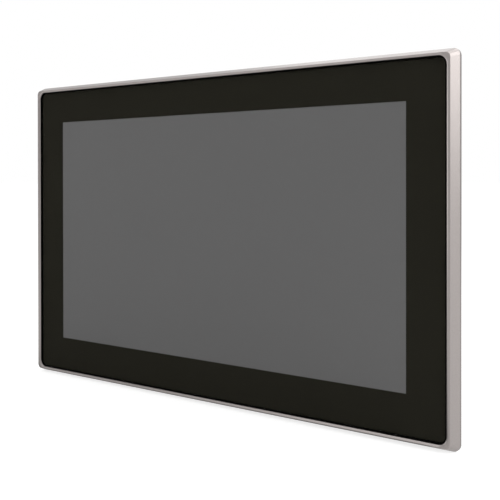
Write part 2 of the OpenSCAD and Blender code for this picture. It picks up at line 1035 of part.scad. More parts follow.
// Parts soldered to the mainboard: battery holder, capacitors, coils, chips and the reset switch
module board_components() {
    holder_wall = 2;
    holder_h = 3;
    holder_gap = 0.1;
    row_z = -54;
    cap_x = [-92, -82, -72, -62];
    cap_r = 4;
    cap_h = 9;
    cap_edge = 0.6;
    coil_x = [-46, -32];
    coil_w = 10;
    coil_r = 2;
    coil_h = 5;
    // Middle in X and Z and width of each chip
    chips = [[-14, -50, 14], [22, -56, 9], [41, -56, 9], [70, -50, 12], [-70, 46, 10]];
    chip_r = 0.5;
    chip_h = 1.4;
    switch_half_w = 3;
    switch_h = 6;
    switch_z = [2, 10];
    color([0.2, 0.2, 0.22]) {
        difference() {
            rod(cell_battery_x, 0, cell_battery_r + holder_wall, board_top, board_top + holder_h);
            rod(cell_battery_x, 0, cell_battery_r + holder_gap, board_top + holder_floor,
                board_top + holder_h + past);
        }
        for (x = cap_x)
            turned(x, row_z)
                polygon([
                    [0, board_top], [cap_r, board_top], [cap_r, board_top + cap_h - cap_edge],
                    [cap_r - cap_edge, board_top + cap_h], [0, board_top + cap_h]
                ]);
        for (x = coil_x)
            translate([x, 0, row_z])
                slab(coil_w, coil_w, coil_r, board_top, board_top + coil_h);
        for (p = chips)
            translate([p[0], 0, p[1]])
                slab(p[2], p[2], chip_r, board_top, board_top + chip_h);
        difference() {
            block([reset_x - switch_half_w, board_top, port_in_z + switch_z[0]],
                  [reset_x + switch_half_w, board_top + switch_h, port_in_z + switch_z[1]]);
            translate([reset_x, reset_y, port_z + reset_sunk])
                cylinder(h = reset_l + reset_travel + stop_gap, r = reset_r + reset_guide);
        }
    }
}

// Rear cover

// Fins that stand on the cover, drawn in with a draft and sloping at both ends
module fins() {
    sunk = 0.5;
    intersection() {
        floor_plate(-fin_half_root, fin_half_root)
            for (i = [0 : fin_count - 1])
                translate([(i - (fin_count - 1) / 2) * fin_pitch, 0])
                    polygon([
                        [-fin_root / 2, cover_y - sunk], [fin_root / 2, cover_y - sunk],
                        [fin_tip / 2, fin_y], [-fin_tip / 2, fin_y]
                    ]);
        side_plate(-cover_w / 2, cover_w / 2)
            polygon([
                [cover_y - sunk, -fin_half_root], [cover_y, -fin_half_root], [fin_y, -fin_half_tip],
                [fin_y, fin_half_tip], [cover_y, fin_half_root], [cover_y - sunk, fin_half_root]
            ]);
    }
}

module at_vesa() {
    for (x = [-1, 1], z = [-1, 1])
        translate([x * vesa_pitch / 2, 0, z * vesa_pitch / 2])
            children();
}

module heatsink_cover() {
    seat_y = cover_y - post_seat_d;
    color([0.16, 0.16, 0.17])
        difference() {
            union() {
                difference() {
                    union() {
                        slab(cover_w, cover_h, cover_r, housing_y, cover_y - cover_chamfer);
                        flared_slab(cover_w, cover_h, cover_r, -cover_chamfer,
                                    cover_y - cover_chamfer, cover_y);
                    }
                    slab(cover_w - 2 * cover_wall, cover_h - 2 * cover_wall, cover_r - cover_wall,
                         housing_y - past, cover_in_y);
                    block([-bay_half_w, housing_y - past, -cover_h / 2 - past],
                          [bay_half_w, cover_in_y, cover_wall + past - cover_h / 2]);
                }
                at_posts()
                    rod(0, 0, post_r, housing_y, cover_in_y + past);
                for (s = [-1, 1])
                    translate([s * lug_x, 0, 0])
                        block([-lug_half_w, lug_y - lug_half_t, port_in_z],
                              [lug_half_w, cover_in_y + past, port_in_z + lug_h]);
                translate([cpu_x, 0, cpu_z])
                    slab(pedestal_w, pedestal_w, pedestal_r, pedestal_y, cover_in_y + past);
                fins();
                at_vesa()
                    rod(0, 0, boss_r, cover_y - past, fin_y);
            }
            at_posts() {
                rod(0, 0, m3_free_r, housing_y - past, fin_y);
                rod(0, 0, pan_head_r + post_head_room, seat_y, fin_y);
            }
            at_vesa()
                rod(0, 0, vesa_bore / 2, fin_y - boss_bore_l, fin_y + past);
            for (x = [-lug_x, lug_x])
                translate([x, lug_y, port_in_z - past])
                    cylinder(h = pan_shank + past, r = m3_bore_r);
        }
}

module cover_screws() {
    color("gray")
        at_posts()
            translate([0, cover_y - post_seat_d, 0])
                rotate([-90, 0, 0])
                    pan_screw(cover_shank);
}

// Ports

// Outline of a nine-pin connector shell, wide side to the back
module dsub_outline(grow) {
    a = dsub_w / 2 + grow;
    b = a - dsub_slant;
    k = dsub_h / 2 + grow;
    c = dsub_corner;
    polygon([
        [a - c, k], [c - a, k], [-a, k - c], [-b, c - k], [c - b, -k], [b - c, -k], [b, c - k], [a, k - c]
    ]);
}

module port_plate() {
    gap = 0.3;
    edge_gap = 0.2;
    color("silver")
        floor_plate(port_z, port_in_z)
            difference() {
                translate([gap - bay_half_w, housing_y + edge_gap])
                    square([2 * (bay_half_w - gap), cover_in_y - housing_y - 2 * edge_gap]);
                for (x = [-lug_x, lug_x])
                    translate([x, lug_y])
                        circle(m3_free_r);
                translate([power_x, power_y])
                    circle(power_bore_r);
                translate([reset_x, reset_y])
                    circle(reset_r + reset_room);
                translate([dc_x - dc_half_w - gap, board_top - gap])
                    square([2 * (dc_half_w + gap), dc_h + 2 * gap]);
                for (x = com_x)
                    translate([x, com_y]) {
                        dsub_outline(dsub_skin + gap);
                        for (s = [-1, 1])
                            translate([s * jack_x, 0])
                                circle(jack_shank_r + jack_room);
                    }
                for (x = lan_x)
                    translate([x - lan_half_w - gap, board_top - gap])
                        square([2 * (lan_half_w + gap), lan_h + 2 * gap]);
                for (x = usb_x)
                    translate([x - usb_half_w - gap, board_top - gap])
                        square([2 * (usb_half_w + gap), usb_h + 2 * gap]);
            }
}

module com_ports() {
    body_l = 13;
    color("lightgray")
        for (x = com_x)
            translate([x, com_y, 0])
                difference() {
                    union() {
                        block([-com_half_w, -com_h / 2, port_in_z],
                              [com_half_w, com_h / 2, port_in_z + body_l]);
                        floor_plate(port_z - dsub_l, port_in_z + past)
                            dsub_outline(dsub_skin);
                    }
                    floor_plate(port_z - dsub_l - past, port_z)
                        dsub_outline(0);
                    for (s = [-1, 1])
                        translate([s * jack_x, 0, port_in_z - past])
                            cylinder(h = past + jack_depth + screw_spare, r = jack_shank_r + press_gap);
                }
}

// Contacts of the serial ports and of the supply inlet
module port_pins() {
    row_pins = [5, 4];
    com_pin_r = 0.5;
    com_pin_sunk = 1;
    dc_pin_r = 0.6;
    dc_pin_sunk = 3.5;
    dc_pin_l = 8;
    color("gold") {
        for (x = com_x, row = [0, 1], i = [0 : row_pins[row] - 1])
            translate([x + (i - (row_pins[row] - 1) / 2) * dsub_pitch, com_y + (1 - 2 * row) * dsub_row,
                       port_z - dsub_l + com_pin_sunk])
                cylinder(h = dsub_l - com_pin_sunk, r = com_pin_r);
        for (i = [-1 : 1])
            translate([dc_x + i * dc_pitch, dc_pin_y, port_face_z + dc_pin_sunk])
                cylinder(h = dc_pin_l, r = dc_pin_r);
    }
}

module com_jackscrews() {
    bore_r = 1.2;
    bore_end = 0.5;
    color("silver")
        for (x = com_x, s = [-1, 1])
            translate([x + s * jack_x, com_y, port_z - jack_l])
                difference() {
                    union() {
                        cylinder(h = jack_l, r = hex_r(jack_af), $fn = 6);
                        cylinder(h = jack_l + port_t + jack_depth, r = jack_shank_r);
                    }
                    translate([0, 0, -past])
                        cylinder(h = past + jack_l - bore_end, r = bore_r);
                }
}

module lan_ports() {
    mouth_half_w = 5.9;
    mouth_rise = 3;
    mouth_h = 8;
    mouth_lo = board_top + mouth_rise;
    mouth_hi = mouth_lo + mouth_h;
    mouth_l = 12.5;
    latch_half_w = 3;
    latch_h = 1.6;
    latch_l = 9.5;
    color("lightgray")
        for (x = lan_x)
            translate([x, 0, port_face_z])
                difference() {
                    block([-lan_half_w, board_top, 0], [lan_half_w, board_top + lan_h, lan_l]);
                    block([-mouth_half_w, mouth_lo, -past], [mouth_half_w, mouth_hi, mouth_l]);
                    block([-latch_half_w, mouth_hi - past, -past],
                          [latch_half_w, mouth_hi + latch_h, latch_l]);
                }
}

module usb_ports() {
    color("lightgray")
        for (x = usb_x)
            translate([x, 0, port_face_z])
                difference() {
                    block([-usb_half_w, board_top, 0], [usb_half_w, board_top + usb_h, usb_l]);
                    block([usb_skin - usb_half_w, board_top + usb_skin, -past],
                          [usb_half_w - usb_skin, board_top + usb_h - usb_skin, usb_mouth_l]);
                }
}

module usb_tongues() {
    half_w = 5.6;
    rise = 3.2;
    t = 1.9;
    sunk = 1;
    lo = board_top + rise;
    color("royalblue")
        for (x = usb_x)
            translate([x, 0, port_face_z])
                block([-half_w, lo, sunk], [half_w, lo + t, usb_mouth_l]);
}

// Header that takes a three-pole screw terminal
module dc_socket() {
    wall = 1.2;
    depth = 11.5;
    body_l = 16.5;
    color("green")
        translate([dc_x, 0, port_face_z])
            difference() {
                block([-dc_half_w, board_top, 0], [dc_half_w, board_top + dc_h, body_l]);
                block([wall - dc_half_w, board_top + wall, -past],
                      [dc_half_w - wall, board_top + dc_h - wall, depth]);
            }
}

module power_switch() {
    body_l = 12;
    bore_l = power_stem + power_travel + stop_gap;
    base_half_w = 5;
    color([0.2, 0.2, 0.2])
        difference() {
            union() {
                translate([power_x, power_y, port_in_z])
                    cylinder(h = body_l, r = power_body_r);
                block([power_x - base_half_w, board_top, port_in_z],
                      [power_x + base_half_w, power_y, port_in_z + body_l]);
            }
            translate([power_x, power_y, port_in_z - past])
                cylinder(h = bore_l + past, r = power_bore_r);
        }
}

module power_button() {
    proud = 2;
    inside = port_t + power_stem;
    edge = 0.5;
    dish = 0.4;
    dish_r = power_r - 1.2;
    color([0.1, 0.1, 0.1])
        translate([power_x, power_y, port_z])
            rotate_extrude()
                polygon([
                    [0, dish - proud], [dish_r - dish, dish - proud], [dish_r, -proud],
                    [power_r - edge, -proud], [power_r, edge - proud], [power_r, inside], [0, inside]
                ]);
}

module reset_button() {
    color("black")
        translate([reset_x, reset_y, port_z + reset_sunk])
            cylinder(h = reset_l, r = reset_r);
}

// Clamps

// Cast bracket that hooks into the housing wall and carries the screw
module clamp_bracket() {
    plate_top = wall_z + clamp_plate_t;
    base_half_w = 7.5;
    root_z = plate_top - 0.5;
    waist_half_w = nut_block_r - 0.3;
    waist_z = clamp_z - 1;
    hook_end = hook_y + hook_t + hook_lip;
    hook_lo = wall_z - hook_drop;
    hook_hi = wall_z - sheet_t - hook_gap;
    difference() {
        union() {
            block([-clamp_half_w, clamp_y0, wall_z], [clamp_half_w, clamp_y1, plate_top]);
            plate(nut_block_y0, nut_block_y1)
                union() {
                    translate([0, clamp_z])
                        circle(nut_block_r);
                    polygon([
                        [-base_half_w, root_z], [base_half_w, root_z],
                        [waist_half_w, waist_z], [-waist_half_w, waist_z]
                    ]);
                }
            side_plate(-hook_half_w, hook_half_w)
                polygon([
                    [hook_y, root_z], [hook_y, hook_lo], [hook_end, hook_lo], [hook_end, hook_hi],
                    [hook_y + hook_t, hook_hi], [hook_y + hook_t, root_z]
                ]);
        }
        rod(0, clamp_z, screw_bore_r, nut_block_y0 - past, nut_block_y1 + past);
    }
}

module clamp_brackets() {
    color("dimgray")
        for (i = [1 : clamp_count])
            at_clamp(i)
                clamp_bracket();
}

// Swivelling foot that presses on the back of the cabinet panel
module clamp_foot(i) {
    rear = foot_y + foot_t;
    neck_r = 3;
    color([0.15, 0.15, 0.15])
        at_clamp(i)
            difference() {
                turned(0, clamp_z)
                    polygon([
                        [0, foot_y], [foot_r - foot_chamfer, foot_y], [foot_r, foot_y + foot_chamfer],
                        [foot_r, foot_y + foot_cup], [neck_r, rear], [0, rear]
                    ]);
                rod(0, clamp_z, foot_bore_r, foot_y + foot_cup, rear + past);
            }
}

module clamp_screw(i) {
    neck_gap = 0.3;
    neck_slope = 0.6;
    head_edge = 0.4;
    tip_y = foot_y + foot_cup + screw_tip_gap;
    neck_y = foot_y + foot_t + neck_gap;
    head_end = screw_head_y + screw_head_h;
    color("silver")
        at_clamp(i)
            difference() {
                turned(0, clamp_z)
                    polygon([
                        [0, tip_y], [screw_tip_r, tip_y], [screw_tip_r, neck_y],
                        [screw_r, neck_y + neck_slope], [screw_r, screw_head_y],
                        [screw_head_r, screw_head_y], [screw_head_r, head_end - head_edge],
                        [screw_head_r - head_edge, head_end], [0, head_end]
                    ]);
                translate([0, head_end - screw_socket_d, clamp_z])
                    rotate([-90, 0, 0])
                        cylinder(h = screw_socket_d + past, r = hex_r(screw_socket_af), $fn = 6);
            }
}

front_bezel();
cover_glass();
border_print();
touch_sensor();
glass_tape();
dust_seal();
panel_gasket();
lcd_frame();
lcd_cell();
lcd_carrier();
optical_films();
light_guide();
led_bar();
lcd_back_plate();
timing_board();
lcd_straps();
touch_board();
touch_flex();
display_cable();
rear_housing();
housing_screws();
press_nuts();
earth_screw();
mainboard();
board_standoffs();
pan_screws();
processor();
thermal_pad();
card_sockets();
memory_module();
storage_module();
coin_cell();
board_components();
heatsink_cover();
cover_screws();
port_plate();
com_ports();
port_pins();
com_jackscrews();
lan_ports();
usb_ports();
usb_tongues();
dc_socket();
power_switch();
power_button();
reset_button();
clamp_brackets();
for (i = [1 : clamp_count])
    clamp_foot(i);
for (i = [1 : clamp_count])
    clamp_screw(i);
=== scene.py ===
"""Looks of a panel-mount touch display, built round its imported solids."""

import json
import math

import bmesh
import bpy
from bpy.props import FloatProperty, FloatVectorProperty, IntProperty, PointerProperty
from mathutils import Matrix, Vector


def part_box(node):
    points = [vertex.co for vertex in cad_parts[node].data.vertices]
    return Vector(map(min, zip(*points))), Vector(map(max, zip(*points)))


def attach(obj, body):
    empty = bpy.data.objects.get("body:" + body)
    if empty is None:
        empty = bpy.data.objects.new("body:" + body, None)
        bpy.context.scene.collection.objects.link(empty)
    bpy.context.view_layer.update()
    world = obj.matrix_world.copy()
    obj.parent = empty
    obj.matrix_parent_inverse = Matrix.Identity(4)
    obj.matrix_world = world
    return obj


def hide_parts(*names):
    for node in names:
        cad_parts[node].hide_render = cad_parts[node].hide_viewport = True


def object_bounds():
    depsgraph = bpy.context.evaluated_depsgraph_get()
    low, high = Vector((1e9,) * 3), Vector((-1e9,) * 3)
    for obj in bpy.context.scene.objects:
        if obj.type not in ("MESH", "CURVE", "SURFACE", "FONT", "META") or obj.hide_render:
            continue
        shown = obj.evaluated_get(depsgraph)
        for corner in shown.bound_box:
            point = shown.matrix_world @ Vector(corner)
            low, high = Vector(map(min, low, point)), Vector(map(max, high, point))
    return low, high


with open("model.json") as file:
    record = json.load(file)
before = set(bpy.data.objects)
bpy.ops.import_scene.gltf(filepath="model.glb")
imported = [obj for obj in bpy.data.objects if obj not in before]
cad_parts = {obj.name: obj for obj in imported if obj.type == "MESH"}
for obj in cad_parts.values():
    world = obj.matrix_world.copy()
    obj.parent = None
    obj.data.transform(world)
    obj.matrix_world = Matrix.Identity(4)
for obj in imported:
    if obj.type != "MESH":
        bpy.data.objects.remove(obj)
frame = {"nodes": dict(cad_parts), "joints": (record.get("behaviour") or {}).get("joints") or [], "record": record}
CAD_BOX = [list(corner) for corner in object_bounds()]

bl_info = {
    "name": "Touch panel looks",
    "version": (1, 0, 0),
    "blender": (4, 5, 0),
    "location": "3D View > Sidebar > Touch Panel",
    "description": "Dresses the solids of a panel-mount touch display with finished pieces and materials",
    "category": "Object",
}

MM = 0.001
WHITE = (1, 1, 1, 1)
ROOT = "panel"
BACK = (0, 1, 0)
DOWN = (0, 0, -1)
# Signs of the corners of a square, in turn
SQUARE = ((-1, -1), (1, -1), (1, 1), (-1, 1))
# Points closer than this are one, in metres
WELD = 1e-7
SLOTS = {part["node"]: part["material_slot"] for part in frame["record"]["subparts"]}


def reach(node):
    """Lowest and highest corner of a solid, in millimetres."""
    return [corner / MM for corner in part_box(node)]


# Depths and outlines of the solids that the finished pieces follow, in millimetres
BEZEL_LOW, BEZEL_HIGH = reach("front_bezel")
GLASS_LOW, GLASS_HIGH = reach("cover_glass")
GASKET_LOW, GASKET_HIGH = reach("panel_gasket")
HOUSING_LOW, HOUSING_HIGH = reach("rear_housing")
FRONT_Y = BEZEL_LOW.y
REAR_Y = HOUSING_LOW.y
SPIGOT_Y = BEZEL_HIGH.y
GLASS_Y = GLASS_LOW.y
PRINT_Y = GLASS_HIGH.y
LEDGE_Y = reach("glass_tape")[1].y
GROOVE_Y = GASKET_LOW.y
STRAP_Y = reach("lcd_straps")[1].y
BOARD_Y = reach("processor")[0].y
PORT_Z = reach("port_plate")[0].z
PORT_FACE_Z = reach("lan_ports")[0].z
RIM_DEPTH = 2.6
RIM_CHAMFER = 0.4
FLANK_RUN = 3.15
BEVEL_RUN = 1.45
STEP_RUN = 0.25
STEP_RISE = 0.4
# Rounded rectangles as width, height and corner radius
BEZEL = (BEZEL_HIGH.x - BEZEL_LOW.x, BEZEL_HIGH.z - BEZEL_LOW.z, 4.8)
RIDGE = (BEZEL[0] - 2 * FLANK_RUN, BEZEL[1] - 2 * FLANK_RUN, 3.6)
GLASS = (GLASS_HIGH.x - GLASS_LOW.x, GLASS_HIGH.z - GLASS_LOW.z, 6.0)
GASKET = (GASKET_HIGH.x - GASKET_LOW.x, GASKET_HIGH.z - GASKET_LOW.z, 3.8)
SPIGOT = (382.6, 232.6, 2.0)
DISPLAY_ROOM = (368.0, 218.0, 2.0)
WINDOW = (344.2, 193.6, 0.3)
LEAST_CORNER = 0.5
# Share of a side that the rounding of one of its corners may take
MOST_EASED = 0.48
# Middle of the printed window beside the middle of the glass
WINDOW_SHIFT = (-0.5, 0.6)
# Distance from the end of a corner's arc to the point beside it
CORNER_SETTLE = 1.5
WINDOW_SETTLE = 0.1
# Gaps, insets, bands and softened runs of the pieces
PRINT_INSET = 0.3
PRINT_GAP = 0.02
FILM_FRONT_Y = PRINT_Y - 0.8 * PRINT_GAP
FILM_REAR_Y = PRINT_Y - 0.2 * PRINT_GAP
GLASS_GAP = 0.05
GROUND_EDGE = 1.0
GROUND_CHAMFER = 0.4
GROUND_ROUND = 0.2
PANE_ROUND = 0.05
GASKET_SLACK = 0.2
GROOVE_BAND = 5.0
BEAD_BAND = 1.3
VALLEY_Y = -0.6
VALLEY_ROUND = 0.15
BUTTON_EDGE = 0.12
BUTTON_BEND = 40
CLAMP_EDGE = 0.3
# Edges of the housing that are shorter than this stay sharp
SHORTEST_SOFT = 1.2

# Screws: places of their seats, and lengths
SIDE_SCREW_X = (-165, -55, 55, 165)
SIDE_SCREW_Z = (-70, 70)
SIDE_SCREW_Y = (REAR_Y + SPIGOT_Y) / 2
COVER_SEAT_Y = 41.5
COVER_SCREWS = [(x, COVER_SEAT_Y, z) for x in (-124, 124) for z in (-81, 0, 81)]
STRAP_SCREWS = [(x, STRAP_Y, z) for x in (-115, 115) for z in (-112.65, 112.65)]
BOARD_SCREWS = [(x, BOARD_Y, z) for x in (-104, 104) for z in (-58, 0, 58)]
STORAGE_SCREW = (82, 29.2, 45)
PLATE_SCREWS = [(x, 37.5, PORT_Z) for x in (-111, 111)]
EARTH_SCREW = (168, HOUSING_HIGH.y, -96)
LONG_SHANK = COVER_SEAT_Y - reach("cover_screws")[0].y
SHORT_SHANK = 5
# Cross recesses as half width of an arm, reach and depth
FLAT_CROSS = (0.42, 1.45, 1.1)
PAN_CROSS = (0.45, 1.5, 1.2)
EARTH_CROSS = (0.55, 2.1, 1.6)
# A recess is this much wider at its mouth and narrower at its floor, with a lip this deep
CROSS_MOUTH = 1.12
CROSS_FLOOR = 0.78
CROSS_LIP = 0.12

# Ports along the plate; contacts run through points of depth and height over the ports' face, and a
# blade is the width and thickness of a contact
SERIAL_X = (-57, -22.5)
SERIAL_Y = BOARD_Y + 6.25
# Inset and height over the plate of the rings of a serial insert
SERIAL_RINGS = ((0.12, 0.02), (0.12, 1.0), (0.32, 1.2))
NETWORK_X = (20, 39)
NETWORK_MOUTH_HALF = 5.96
NETWORK_MOUTH_Y = (28.55, 38.3)
NETWORK_PIN_PITCH = 1.02
NETWORK_PINS = [(i - 3.5) * NETWORK_PIN_PITCH for i in range(8)]
NETWORK_CONTACT = ((29.0, 2.2), (29.2, 3.2), (30.3, 7.0), (31.4, 10.2), (31.5, 12.3))
NETWORK_BLADE = (0.45, 0.25)
USB_X = (60, 78)
USB_PINS = (-3.5, -1, 1, 3.5)
USB_CONTACT = ((28.74, 1.6), (28.62, 2.2), (28.62, 6.5), (28.74, 8.5))
USB_BLADE = (1.0, 0.14)

# Clamps: depths come from the first one, places from the joints that the screws turn on
CLAMPS = range(1, 7)
JOINTS = {joint["name"]: joint for joint in frame["joints"]}
FOOT_LOW, FOOT_HIGH = reach("clamp_foot_1")
SCREW_LOW, SCREW_HIGH = reach("clamp_screw_1")
SCREW_SIDES = 36
FOOT_SIDES = 48
HEAD_TOP = SCREW_HIGH.y
HEAD_Y = HEAD_TOP - 4
THREAD_START = FOOT_HIGH.y + 1
THREAD_END = HEAD_Y - 0.8
THREAD_STEPS = 6
THREAD_CREST = 2.0
THREAD_DEPTH = 0.36
THREAD_PEAK = 1.35
THREAD_SLOPE = 0.85
KNURL_RADIUS = 3.5
KNURL_DEPTH = 0.09
SOCKET_HALF = 1.5
# Rows of radius, of inset from the knurl or of scale of the socket, each with its depth
SCREW_TIP = (
    (1.2, SCREW_LOW.y), (1.4, SCREW_LOW.y + 0.2), (1.4, FOOT_HIGH.y + 0.3), (1.64, FOOT_HIGH.y + 0.7))
HEAD_BASE = ((THREAD_CREST - 0.2, HEAD_Y), (KNURL_RADIUS - 0.3, HEAD_Y))
KNURL_INSETS = ((0.12, HEAD_Y + 0.15), (0, HEAD_Y + 0.3), (0, HEAD_TOP - 0.6), (0.12, HEAD_TOP - 0.4))
HEAD_RIM = ((KNURL_RADIUS - 0.2, HEAD_TOP - 0.15), (KNURL_RADIUS - 0.5, HEAD_TOP))
SOCKET_SCALES = ((1.1, HEAD_TOP), (1.0, HEAD_TOP - 0.2), (1.0, HEAD_TOP - 2.2))
# Foot from its grip rings to the hole for the screw, as radius and height over the sole
GRIP_FOOT = (
    (0.8, 0.25), (1.2, 0.25), (1.35, 0), (1.9, 0), (2.05, 0.25), (2.45, 0.25), (2.6, 0), (3.75, 0),
    (4.05, 0.12), (4.2, 0.42), (4.2, 1.6), (4.12, 1.85), (3.3, 3.3), (3.1, 3.8), (2.9, 4.0), (1.75, 4.0),
    (1.62, 3.9), (1.62, 1.85))

# Width of the camera's sensor, in millimetres
SENSOR_WIDTH = 36
# Stage, in metres and degrees
FLOOR_REACH = 40
FLOOR_GAP = 0.2 * MM
CARD_LIFT = 0.5 * MM
# Floor as bounced light meets it; as the eye sees it, it is a thin shade with a glow
FLOOR_PALE = 0.8
FLOOR_THIN = 0.40
FLOOR_GLOW = 0.76
CARD_GREY = 0.05
# Cards: place of the foot, half width and height, soft band, turns about X and Z
CARDS = {
    "left_card": ((-1.0, -0.8), (0.5, 1.2), 0.35, (0, 90)),
    "front_card": ((-0.1, -2.0), (0.45, 1.2), 0.3, (0, 0)),
    # The card laid flat on the floor under the part is a painted shadow: in reflections it darkens the floor where
    # the part's shadow falls
    "under_card": ((-0.1, -0.05), (0.3, 0.15), 0.02, (-90, 0)),
}
# Lamps that have only their power among the settings: place and side
LAMPS = {
    "fill": ((-0.8, -1.25, 1.5), 1.2),
    "side": ((-2.2, -0.55, 0.1), 0.8),
    "rim": ((-0.07, 0.98, 0.99), 1.6),
    "corner": ((0.5, 0.8, 1.4), 0.7),
}


# Sizes and colours that a user would change


class FrontSizes(bpy.types.PropertyGroup):
    """Sizes of the softened edges and of the fine turned detail"""

    bezel_edge: FloatProperty(
        name="Bezel edge", description="Run of the softened edges of the bezel",
        default=0.3 * MM, min=0.05 * MM, max=0.6 * MM, precision=5, unit="LENGTH")
    casting_edge: FloatProperty(
        name="Casting edge", description="Run of the softened edges of the cast cover",
        default=0.35 * MM, min=0.05 * MM, max=0.6 * MM, precision=5, unit="LENGTH")
    sheet_edge: FloatProperty(
        name="Sheet edge", description="Run of the softened edges of folded and punched sheet",
        default=0.15 * MM, min=0.05 * MM, max=0.4 * MM, precision=5, unit="LENGTH")
    bead_round: FloatProperty(
        name="Gasket bead", description="Run of the rounding on the two beads of the gasket",
        default=0.55 * MM, min=0.1 * MM, max=0.6 * MM, precision=5, unit="LENGTH")
    thread_pitch: FloatProperty(
        name="Thread pitch", description="Advance of the clamp screws for each turn",
        default=0.7 * MM, min=0.5 * MM, max=1.0 * MM, precision=5, unit="LENGTH")
    corner_steps: IntProperty(
        name="Corner steps", description="Flats in each rounded corner of the front",
        default=12, min=4, max=32)


class FinishColours(bpy.types.PropertyGroup):
    """Colours of the finishes"""

    bezel: FloatVectorProperty(
        name="Bezel", description="Satin aluminium of the bezel",
        default=(0.302, 0.276, 0.267), min=0, max=1, subtype="COLOR")
    border: FloatVectorProperty(
        name="Border", description="Ink printed round the screen, behind the glass",
        default=(0.0180, 0.0171, 0.0129), min=0, max=1, subtype="COLOR")
    screen: FloatVectorProperty(
        name="Screen", description="Face of the display when it is switched off",
        default=(0.1297, 0.1287, 0.1290), min=0, max=1, subtype="COLOR")
    housing: FloatVectorProperty(
        name="Housing", description="Powder coat of the folded housing",
        default=(0.50, 0.51, 0.51), min=0, max=1, subtype="COLOR")
    casting: FloatVectorProperty(
        name="Casting", description="Black anodised heat sink cover",
        default=(0.030, 0.030, 0.033), min=0, max=1, subtype="COLOR")
    board: FloatVectorProperty(
        name="Boards", description="Solder mask of the circuit boards",
        default=(0.012, 0.085, 0.035), min=0, max=1, subtype="COLOR")


class StageLight(bpy.types.PropertyGroup):
    """Camera, lamps and floor"""

    daylight: FloatProperty(
        name="Daylight", description="Strength of the even light from all round",
        default=0.72, min=0, max=2)
    card_share: FloatProperty(
        name="Grey cards", description="How much of the white the cards take out of reflections",
        default=0.55, min=0, max=1)
    key_power: FloatProperty(
        name="Key lamp", description="Power of the soft lamp at the upper right",
        default=14.5, min=0, max=100, unit="POWER")
    key_place: FloatVectorProperty(
        name="Key place", description="Where the soft lamp hangs",
        default=(1.30, 0.30, 0.75), subtype="TRANSLATION", unit="LENGTH")
    key_size: FloatProperty(
        name="Key size", description="Side of the soft lamp",
        default=1.3, min=0.1, max=3, unit="LENGTH")
    fill_power: FloatProperty(
        name="Fill lamp", description="Power of the wide lamp in front",
        default=8, min=0, max=100, unit="POWER")
    side_power: FloatProperty(
        name="Side lamp", description="Power of the far lamp at the left, which catches the right lip",
        default=4.8, min=0, max=100, unit="POWER")
    rim_power: FloatProperty(
        name="Rim lamp", description="Power of the lamp behind, which catches the top edge",
        default=6.5, min=0, max=100, unit="POWER")
    corner_power: FloatProperty(
        name="Corner lamp", description="Power of the high lamp behind, which catches the near top corner",
        default=2.6, min=0, max=100, unit="POWER")
    floor_height: FloatProperty(
        name="Floor", description="Height of the floor that the bezel stands on",
        default=CAD_BOX[0][2] - FLOOR_GAP, unit="LENGTH")
    camera_place: FloatVectorProperty(
        name="Camera place", description="Where the camera stands",
        default=(0.4500, -0.5324, 0.0452), subtype="TRANSLATION", unit="LENGTH")
    camera_turn: FloatVectorProperty(
        name="Camera turn", description="How the camera is turned",
        default=tuple(math.radians(turn) for turn in (89.65, 0.064, 37.987)),
        subtype="EULER", unit="ROTATION")
    camera_lens: FloatProperty(
        name="Lens", description="Focal length on a 36 mm sensor, in millimetres",
        default=63.71, min=10, max=300, subtype="DISTANCE_CAMERA")
    camera_rise: FloatProperty(
        name="Lens rise", description="Shift of the lens that keeps upright edges upright",
        default=-0.1290, min=-1, max=1)


# Shader expressions


class Wire:
    """One output of a node; arithmetic on it adds Math nodes to its finish."""

    def __init__(self, finish, socket):
        self.finish = finish
        self.socket = socket

    def math(self, operation, *values):
        """Math node on values that are wires or numbers."""
        return self.finish.node("ShaderNodeMath", {"operation": operation}, dict(enumerate(values)))

    def __add__(self, other):
        return self.math("ADD", self, other)

    def __sub__(self, other):
        return self.math("SUBTRACT", self, other)

    def __rsub__(self, other):
        return self.math("SUBTRACT", other, self)

    def __mul__(self, other):
        return self.math("MULTIPLY", self, other)

    def __lt__(self, other):
        return self.math("LESS_THAN", self, other)

    def __gt__(self, other):
        return self.math("GREATER_THAN", self, other)

    def __pow__(self, other):
        return self.math("POWER", self, other)

    def __abs__(self):
        return self.math("ABSOLUTE", self)

    def either(self, other):
        """The larger of two values."""
        return self.math("MAXIMUM", self, other)

    __radd__ = __add__
    __rmul__ = __mul__


